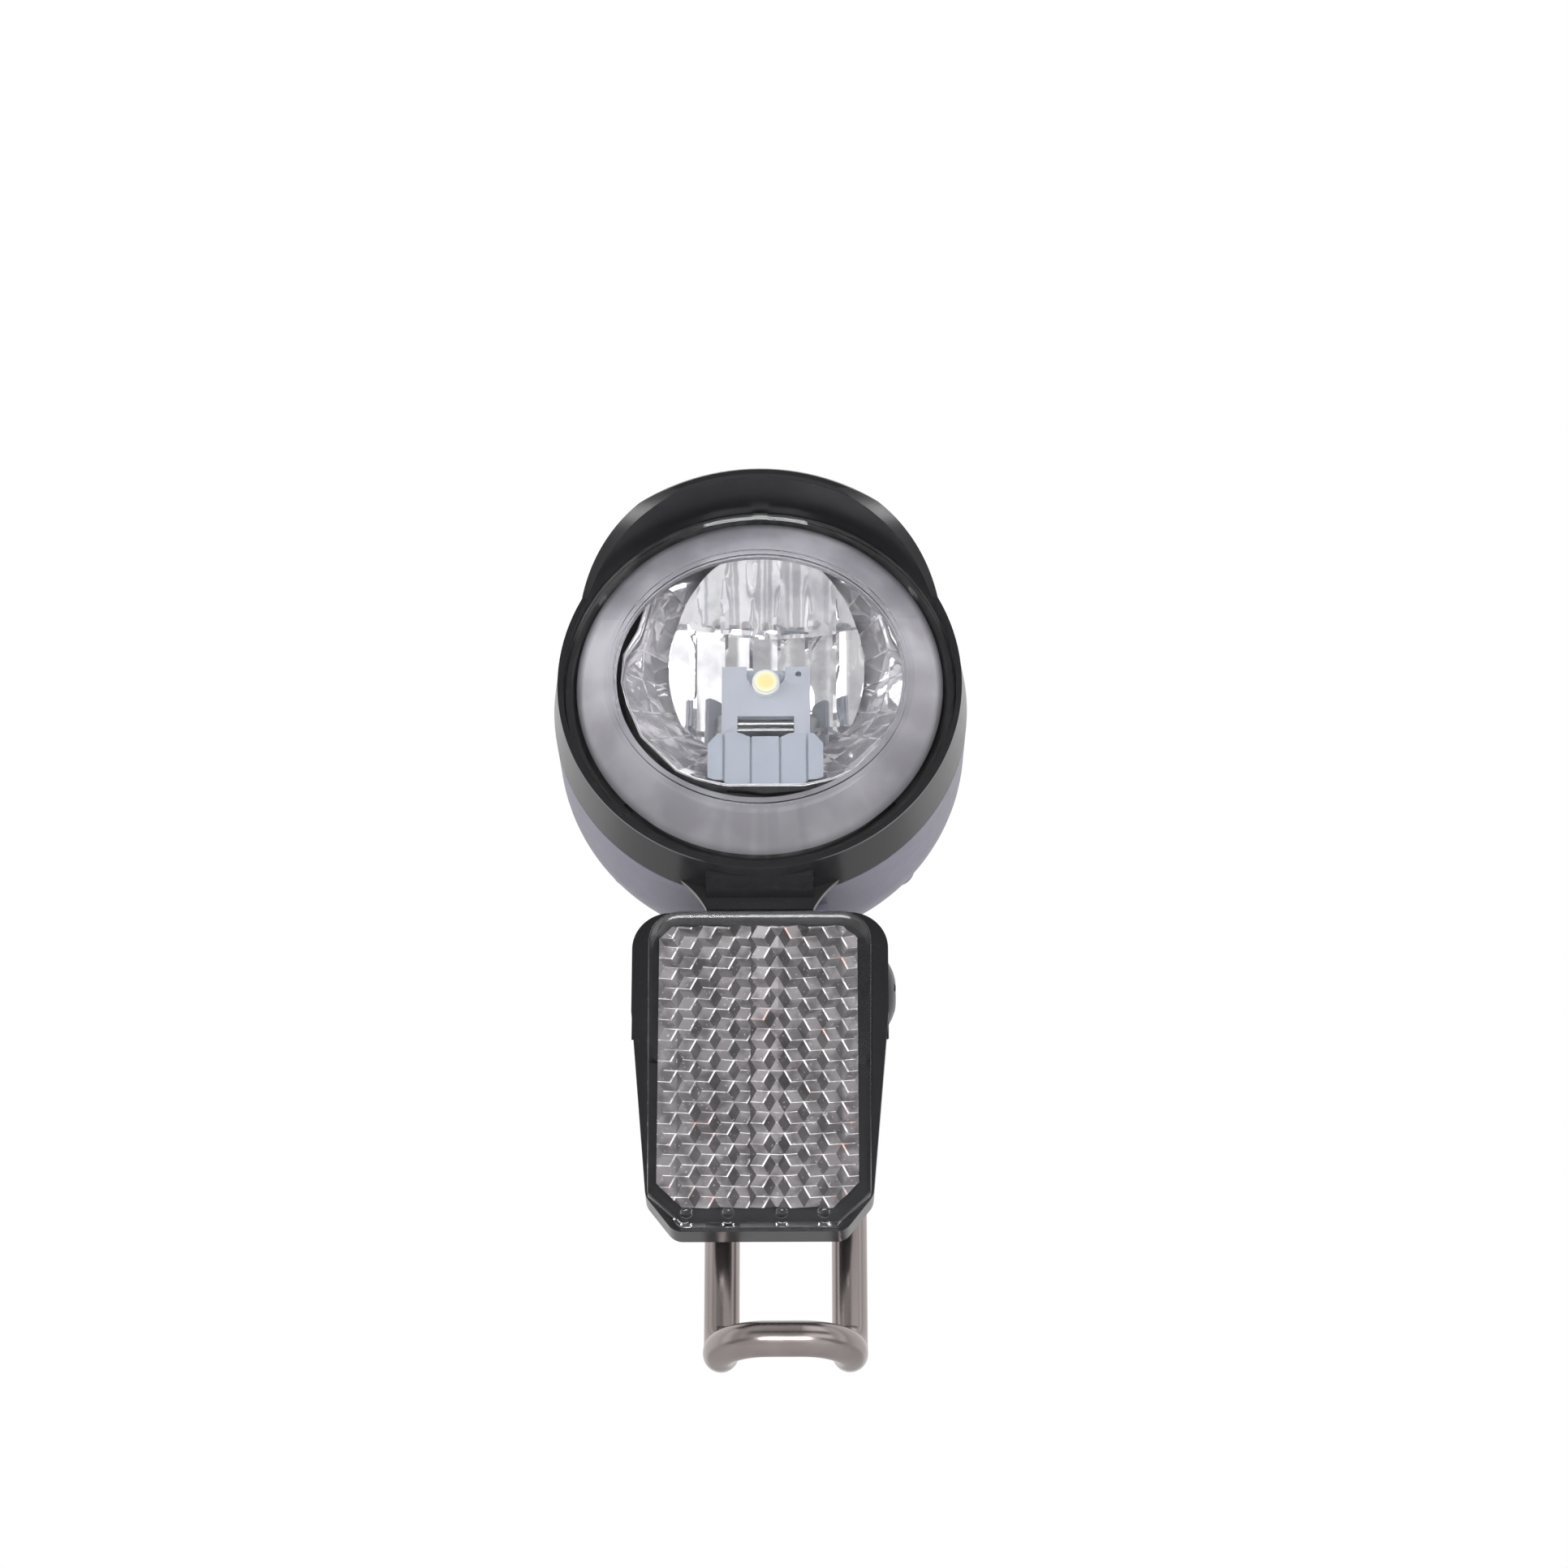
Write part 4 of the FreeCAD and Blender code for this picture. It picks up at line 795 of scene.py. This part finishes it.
# one cell of three rhombs, repeated into a sheet of cube corners, then trimmed
def makeCubeSheet(name, leftEdge, rightEdge, **ownLook):
    look = {**sheetLook, **ownLook}
    left, right = [prismMid.x + fieldLook[edge] * mm for edge in (leftEdge, rightEdge)]
    foot, top = [prismLow.z + fieldLook[edge] * mm for edge in ("foot", "top")]
    front = prismLow.y + look["front"] * mm
    side = look["side"] * mm
    rise = look["depth"] * mm / 2
    high = math.sqrt(3) * side
    start = Vector((left - 2 * side, front + look["depth"] * mm, foot - high))
    piece = beginWith(name, bpy.ops.mesh.primitive_circle_add, vertices=6, radius=side,
                      fill_type="TRIFAN", location=start,
                      rotation=(math.pi / 2, look["turn"], 0))
    for number, spot in enumerate(worldSpots(piece)):
        away = spot - start
        if away.length < side / 2:
            continue
        # the small share keeps halves from rounding either way
        step = round(math.atan2(away.z, away.x) / (math.pi / 3) - 0.001) % 6
        pickNumber(number)
        share = 2 if step % 2 == look["odd"] else 1
        bpy.ops.transform.translate(value=(0, -rise * share, 0))
    settle(piece)
    repeatPiece(piece, 2, (1.5 * side, 0, high / 2))
    repeatPiece(piece, int((right - left) / (3 * side)) + 4, (3 * side, 0, 0))
    repeatPiece(piece, int((top - foot) / high) + 4, (0, 0, high))
    enterEdit(piece)
    bpy.ops.mesh.select_all(action="SELECT")
    bpy.ops.mesh.remove_doubles(threshold=tiny)
    for spot, way in (((left, 0, 0), (-1, 0, 0)), ((right, 0, 0), (1, 0, 0)),
                      ((0, 0, top), (0, 0, 1)), ((0, 0, foot), (0, 0, -1))):
        cutOff(spot, way)
    if look["outer"]:
        edge = left if look["outer"] < 0 else right
        slope = math.sqrt(0.5)
        for cut, height, up in ((look["corner"], top, slope),
                                (look["footCorner"], foot, -slope)):
            cutOff((edge - look["outer"] * cut * mm, 0, height),
                   (look["outer"] * slope, 0, up))
    bpy.ops.mesh.select_all(action="SELECT")
    bpy.ops.mesh.normals_make_consistent(inside=False)
    for finish in (cubeSilver, cubeCreasePaintedHighlight, cubePaintedShade):
        piece.data.materials.append(finish)
    # the creases take the near-white finish in slot 1 as painted highlight lines
    for lean, wide in ((look["lean"], look["crease"]), (0, look["fineCrease"])):
        pickCreases(lean)
        bpy.ops.mesh.bevel(offset=wide * mm, segments=1, affect="EDGES", material=1)
    # painted shade: the rhombs that turn one way take the darker finish in slot 2
    paintFaces(lambda way: way.x * look["lean"] < -look["paintedShadeFrom"], 2)
    handOver(piece, "lamp")


makePrismCover()
makeCubeSheet("cubesLeft", "left", "bandLeft", outer=-1)
makeCubeSheet("cubesMiddle", "bandLeft", "bandRight", depth=0.95)
makeCubeSheet("cubesRight", "bandRight", "right", outer=1, odd=1, lean=-1)


# etched back of the lens ring
def makeLensEtching():
    look = {"outer": 26.0, "innerWide": 21.0, "innerHigh": 19.4, "lift": 0.8, "back": 0.6,
            "front": -2.0, "thick": 0.25, "steps": 6}
    piece = beginWith("lensEtching", bpy.ops.mesh.primitive_circle_add, vertices=128,
                      radius=look["outer"] * mm, fill_type="NOTHING",
                      location=fromHead(0, look["back"], 0), rotation=upright)
    pickAll("EDGE")
    steps = look["steps"]
    for step in range(steps):
        wide, high = [[inner + (look["outer"] - inner) * share
                       for share in (1 - step / steps, 1 - (step + 1) / steps)]
                      for inner in (look["innerWide"], look["innerHigh"])]
        extrudeRimBack((look["front"] - look["back"]) / steps)
        scaleFrom(fromHead(0, 0, look["lift"] * step / steps), wide[1] / wide[0], 1,
                  high[1] / high[0])
        move(up=look["lift"] / steps)
    closeNormals()
    applyModifier(piece, "SOLIDIFY", thickness=look["thick"] * mm, offset=0.0)
    handOver(piece, "lamp", etchedRing, smooth=40)


makeLensEtching()

# outline of the bowl's mouth: straight pieces down the right side, an arc over the top,
# mirrored
mouthLook = {"middle": 0.8, "centre": 8.0, "half": 20.9, "top": 16.8, "arcSteps": 12,
             "startRadius": 10, "front": -2, "long": 30,
             "right": [(0.263, -1.124), (0.474, -1.077), (0.612, -1.01), (0.856, -0.751),
                       (0.957, -0.502), (1.0, -0.335), (0.986, -0.12), (0.89, 0.067),
                       (0.78, 0.474)]}
bowlCentre = fromHead(mouthLook["middle"], 0, mouthLook["centre"])


def fromBowl(across, back, up):
    return bowlCentre + Vector((across, back, up)) * mm


def makeMouthTool():
    half = mouthLook["half"]
    right = [(x * half, z * half) for x, z in mouthLook["right"]]
    span, side = right[-1]
    rise = mouthLook["top"] - side
    radius = (span * span + rise * rise) / (2 * rise)
    arc = []
    for step in range(1, mouthLook["arcSteps"]):
        x = span * (1 - 2 * step / mouthLook["arcSteps"])
        arc.append((x, mouthLook["top"] - radius + math.sqrt(radius * radius - x * x)))
    outline = right + arc + [(-x, z) for x, z in reversed(right)]
    tool = beginWith("mouthTool", bpy.ops.mesh.primitive_circle_add, vertices=len(outline),
                     radius=mouthLook["startRadius"] * mm, fill_type="NGON",
                     location=fromBowl(0, mouthLook["front"], 0), rotation=upright)
    spots = worldSpots(tool)
    order = sorted(range(len(spots)), key=lambda k: math.atan2(
        spots[k].x - bowlCentre.x, bowlCentre.z - spots[k].z))
    wanted = sorted(outline, key=lambda p: math.atan2(p[0], -p[1]))
    for number, (x, z) in zip(order, wanted):
        pickNumber(number)
        goal = fromBowl(x, mouthLook["front"], z)
        bpy.ops.transform.translate(value=goal - spots[number])
    extrudeAllBack(mouthLook["long"])
    closeNormals()
    settle(tool)
    return tool


# height over a row of edges: straight from one to the next, plus a rounded bulge
def facetRise(value, edges, rises, bulge=0.0):
    for a, b, low, high in zip(edges, edges[1:], rises, rises[1:]):
        if a <= value <= b:
            share = (value - a) / (b - a)
            return low * (1 - share) + high * share + bulge * 4 * share * (1 - share)
    return 0.0


# inner part of the mirror: bulged columns in three rows, the upper one steep
def makeBowlMirror():
    look = {"focus": 16.0, "depth": 16.5, "pitch": 4.1, "columns": 9, "parts": 8,
            "bulge": 0.17, "lean": 2.2, "margin": 0.3, "reach": 16.9,
            "rows": [(-4.5, 0.3), (-2.125, 0.9), (1.625, 2.75), (4.5, 12.75)],
            "thick": 20, "back": 17.1, "rim": 14.4, "rimHigh": 16.6, "rimLong": 60,
            "post": (8.8, 30, 4.8), "postBack": 12, "postUp": 1.0}
    line = look["pitch"] / look["parts"]
    across = round(2 * look["reach"] / line)
    middle = fromBowl(0, look["depth"], 0)
    piece = beginWith("bowlMirror", bpy.ops.mesh.primitive_grid_add, x_subdivisions=across,
                      y_subdivisions=across, size=1, location=middle, rotation=upright)
    scaleFrom(middle, across * line * mm, 1, across * line * mm)
    columnEdges = [look["pitch"] * (step - look["columns"] / 2)
                   for step in range(look["columns"] + 1)]
    columnRises = [edge * edge / (4 * look["focus"]) for edge in columnEdges]
    rowEdges = [look["pitch"] * step for step, rise in look["rows"]]
    rowRises = [rise for step, rise in look["rows"]]
    near = line * mm / 3
    for number in range(across + 1):
        place = (number - across / 2) * line
        pick("VERT", lambda p: abs(p.x - bowlCentre.x - place * mm) < near)
        move(back=-facetRise(place, columnEdges, columnRises, look["bulge"]))
        pick("VERT", lambda p: abs(p.z - bowlCentre.z - place * mm) < near)
        move(back=-facetRise(place, rowEdges, rowRises))
    # each facet leans a little its own way
    chance = random.Random(5)
    margin = look["margin"]
    for a, b in zip(columnEdges, columnEdges[1:]):
        for c, d in zip(rowEdges, rowEdges[1:]):
            pick("VERT", lambda p: a + margin < (p.x - bowlCentre.x) / mm < b - margin
                 and c + margin < (p.z - bowlCentre.z) / mm < d - margin)
            rise = (facetRise((a + b) / 2, columnEdges, columnRises)
                    + facetRise((c + d) / 2, rowEdges, rowRises))
            spot = fromBowl((a + b) / 2, look["depth"] - rise, (c + d) / 2)
            for axis in ("Z", "X"):
                bpy.ops.transform.rotate(
                    value=math.radians(chance.uniform(-1, 1) * look["lean"]),
                    orient_axis=axis, center_override=spot)
    extrudeAllBack(look["thick"])
    scaleFrom(fromBowl(0, look["back"], 0), 1, 0, 1)
    closeNormals()
    settle(piece)
    rim = beginWith("rimTool", bpy.ops.mesh.primitive_cylinder_add, vertices=96,
                    radius=look["rim"] * mm, depth=look["rimLong"] * mm,
                    location=bowlCentre, rotation=upright)
    bpy.ops.mesh.select_all(action="SELECT")
    scaleFrom(bowlCentre, 1, 1, look["rimHigh"] / look["rim"])
    settle(rim)
    cutWith(piece, rim, "INTERSECT")
    holeSpot = fromHead(mouthLook["middle"], look["postBack"], look["postUp"])
    hole = beginWith("postTool", bpy.ops.mesh.primitive_cube_add, size=1, location=holeSpot)
    scaleFrom(holeSpot, *(length * mm for length in look["post"]))
    settle(hole)
    cutWith(piece, hole, "DIFFERENCE")
    handOver(piece, "lamp", bowlCoating, smooth=12,
             standsFor=["reflector_bowl"])


# steep outer ring of flat facets with rounded creases, trimmed to the mouth
def makeBowlCollar():
    look = {"facets": 22, "radii": [14.2, 18.2, 21.6, 25.6], "depths": [13.9, 9.3, 5.3, 0.6],
            "thick": 0.7, "crease": 0.13, "zigzag": 0.9}
    radii = look["radii"]
    depths = look["depths"]
    piece = beginWith("bowlCollar", bpy.ops.mesh.primitive_circle_add,
                      vertices=look["facets"], radius=radii[0] * mm, fill_type="NOTHING",
                      location=fromBowl(0, depths[0], 0), rotation=upright)
    pickAll("EDGE")
    for step in range(1, len(radii)):
        extrudeRimBack(depths[step] - depths[step - 1])
        share = radii[step] / radii[step - 1]
        scaleFrom(bowlCentre, share, 1, share)

    # every other corner of the two middle rings
    def isOddCorner(spot):
        away = spot - bowlCentre
        turn = (math.atan2(away.z, away.x) - math.pi / 2) / (2 * math.pi) * look["facets"]
        far = math.hypot(away.x, away.z) / mm
        return round(turn) % 2 == 1 and radii[1] - 1 < far < radii[2] + 1

    pick("VERT", isOddCorner)
    move(back=look["zigzag"])
    closeNormals()
    # the rounded creases take the paler finish in slot 1 as painted highlight lines
    for finish in (bowlCoating, bowlCreasePaintedHighlight):
        piece.data.materials.append(finish)
    bpy.ops.mesh.select_mode(type="EDGE")
    bpy.ops.mesh.bevel(offset=look["crease"] * mm, segments=2, affect="EDGES", material=1)
    applyModifier(piece, "SOLIDIFY", thickness=look["thick"] * mm, offset=1.0)
    settle(piece)
    cutWith(piece, makeMouthTool(), "INTERSECT")
    handOver(piece, "lamp", smooth=25, standsFor=["reflector_bowl"])


# coated wall round the mouth, from the black plate back to the mirror
def makeBowlSkirt():
    look = {"front": 0.9, "back": 11.5, "thick": 0.35, "round": 0.1}
    piece = makeMouthTool()
    rename(piece, "bowlSkirt")
    enterEdit(piece)
    for depth, way in ((look["front"], -1), (look["back"], 1)):
        cutOff(fromHead(0, depth, 0), (0, way, 0))
    closeNormals()
    applyModifier(piece, "SOLIDIFY", thickness=look["thick"] * mm, offset=-1.0)
    applyModifier(piece, "BEVEL", width=look["round"] * mm, segments=2, limit_method="ANGLE")
    handOver(piece, "lamp", bowlCoating, smooth=30,
             standsFor=["reflector_bowl"])


makeBowlMirror()
makeBowlCollar()
makeBowlSkirt()


# the studio: a pale floor far below, whose bright and dark strips only mirrors see
def makeFloor():
    look = {"size": 6.0, "height": -0.3, "colour": (0.86, 0.86, 0.86), "pale": 0.42,
            "tone": 0.98, "noise": (3.0, 2.0), "roughness": 0.9, "specular": 0.1,
            "mirrored": (0.36, 0.355, 0.36), "dull": 0.08, "soft": 0.008,
            "near": (-0.3, -0.2, 0.45),
            "cards": [(-0.6, -0.2, 0.3), (-0.15, -0.12, 0.5), (-0.045, -0.02, 0.6),
                      (0.005, 0.02, 0.5), (0.06, 0.14, 0.7), (0.17, 0.6, 0.6)]}
    leaveEdit()
    bpy.ops.mesh.primitive_plane_add(size=look["size"], location=(0, 0, look["height"]))
    floor = bpy.context.object
    floor.name = "paleFloor"
    finish, tree, shader, turn = newFinish("floorPaint")
    paint = mixColours(tree, noise(tree, turn.outputs[0], *look["noise"]), look["colour"],
                       shade(look["colour"], look["tone"]))
    split = splitVector(tree, turn.outputs[0])
    mirrored = look["dull"]
    for low, high, strength in look["cards"]:
        card = spanMask(tree, split["X"], low, high, look["soft"])
        mirrored = mixValues(tree, card, mirrored, strength)
    start, end, strength = look["near"]
    mirrored = mixValues(tree, mapRange(tree, split["Y"], start, end), mirrored, strength)
    path = addNode(tree, "LightPath").outputs
    plain = calculate(tree, "MAXIMUM", path["Is Camera Ray"], path["Is Diffuse Ray"])
    mirrored = mixValues(tree, path["Is Diffuse Ray"], mirrored, 0.0)
    setInputs(tree, shader, {
        "Roughness": look["roughness"], "Specular IOR Level": look["specular"],
        "Base Color": mixColours(tree, plain, look["mirrored"], paint),
        "Emission Color": (1, 1, 1),
        "Emission Strength": mixValues(tree, path["Is Camera Ray"], mirrored, look["pale"]),
    })
    floor.data.materials.append(finish)


# bright upright bands round a dim room, in degrees from the front, so that gloss has
# something to show
def makeWorld():
    look = {"dim": 0.6, "back": 1.0, "behind": (-0.05, 0.25), "diffuse": 0.48, "soft": 3.0,
            "bands": [(-88, -68, 1.1), (-47, -40, 1.0), (-24, -19, 0.9), (-14, 9, 0.5),
                      (10, 54, 1.4), (66, 82, 1.1)],
            "wall": (-36, 52, 0.1), "wallFoot": (0.27, 0.36), "wallTop": (0.5, 0.66)}
    world = bpy.data.worlds.new("studioRoom")
    bpy.context.scene.world = world
    world.use_nodes = True
    tree = world.node_tree
    tree.nodes.clear()
    leave = addNode(tree, "OutputWorld")
    light = addNode(tree, "Background")
    tree.links.new(light.outputs[0], leave.inputs["Surface"])
    split = splitVector(tree, addNode(tree, "TexCoord").outputs["Generated"])
    ahead = calculate(tree, "MULTIPLY", split["Y"], -1.0)
    angle = calculate(tree, "DEGREES", calculate(tree, "ARCTAN2", split["X"], ahead))
    room = look["dim"]
    for low, high, strength in look["bands"]:
        room = mixValues(tree, spanMask(tree, angle, low, high, look["soft"]), room, strength)
    # dark wall above the camera
    low, high, strength = look["wall"]
    wall = mixValues(tree, mapRange(tree, split["Z"], *look["wallFoot"]), 0.0,
                     spanMask(tree, angle, low, high, look["soft"]))
    wall = mixValues(tree, mapRange(tree, split["Z"], *look["wallTop"]), wall, 0.0)
    room = mixValues(tree, wall, room, strength)
    room = mixValues(tree, mapRange(tree, split["Y"], *look["behind"]), room, look["back"])
    path = addNode(tree, "LightPath").outputs
    seen = mixValues(tree, path["Is Diffuse Ray"], room, look["diffuse"])
    setInputs(tree, light, {
        "Color": (1, 1, 1), "Strength": mixValues(tree, path["Is Camera Ray"], seen, 1.0),
    })


def addSoftbox(name, spot, wide, high, power, glossy):
    aim = Vector((0, 0, 0.07))
    lamp = bpy.data.lights.new(name, "AREA")
    lamp.shape = "RECTANGLE"
    lamp.size = wide
    lamp.size_y = high
    lamp.energy = power
    item = bpy.data.objects.new(name, lamp)
    bpy.context.scene.collection.objects.link(item)
    item.location = spot
    item.rotation_euler = (aim - Vector(spot)).to_track_quat("-Z", "Y").to_euler()
    item.visible_camera = False
    item.visible_glossy = glossy


# below the lamp, looking up at it
def makeCamera():
    look = {"azimuth": 0.63, "elevation": -24.345, "distance": 645.3,
            "aim": (-0.09, -10.0, 81.87), "focalPixels": 5507.0, "photoPixels": 1932,
            "sensor": 36.0, "clip": 0.01}
    data = bpy.data.cameras.new("photoCamera")
    data.sensor_width = look["sensor"]
    data.lens = look["focalPixels"] * look["sensor"] / look["photoPixels"]
    data.clip_start = look["clip"]
    camera = bpy.data.objects.new("photoCamera", data)
    bpy.context.scene.collection.objects.link(camera)
    turn = math.radians(look["azimuth"])
    lift = math.radians(look["elevation"])
    away = Vector((math.sin(turn) * math.cos(lift), -math.cos(turn) * math.cos(lift),
                   math.sin(lift)))
    camera.location = Vector(look["aim"]) * mm + away * look["distance"] * mm
    camera.rotation_euler = (-away).to_track_quat("-Z", "Y").to_euler()
    bpy.context.scene.camera = camera


makeFloor()
makeWorld()
for softbox in (
    ("leftSoftbox", (-0.62, -0.5, 0.04), 0.28, 0.8, 2.5, False),
    ("rightSoftbox", (0.62, -0.5, 0.04), 0.28, 0.8, 2.5, False),
    ("topSoftbox", (0.0, -0.25, 0.8), 0.7, 0.5, 3.0, False),
    ("frontSoftbox", (0.0, -0.62, -0.16), 0.3, 0.1, 1.5, True),
):
    addSoftbox(*softbox)
makeCamera()
print("studio ready")
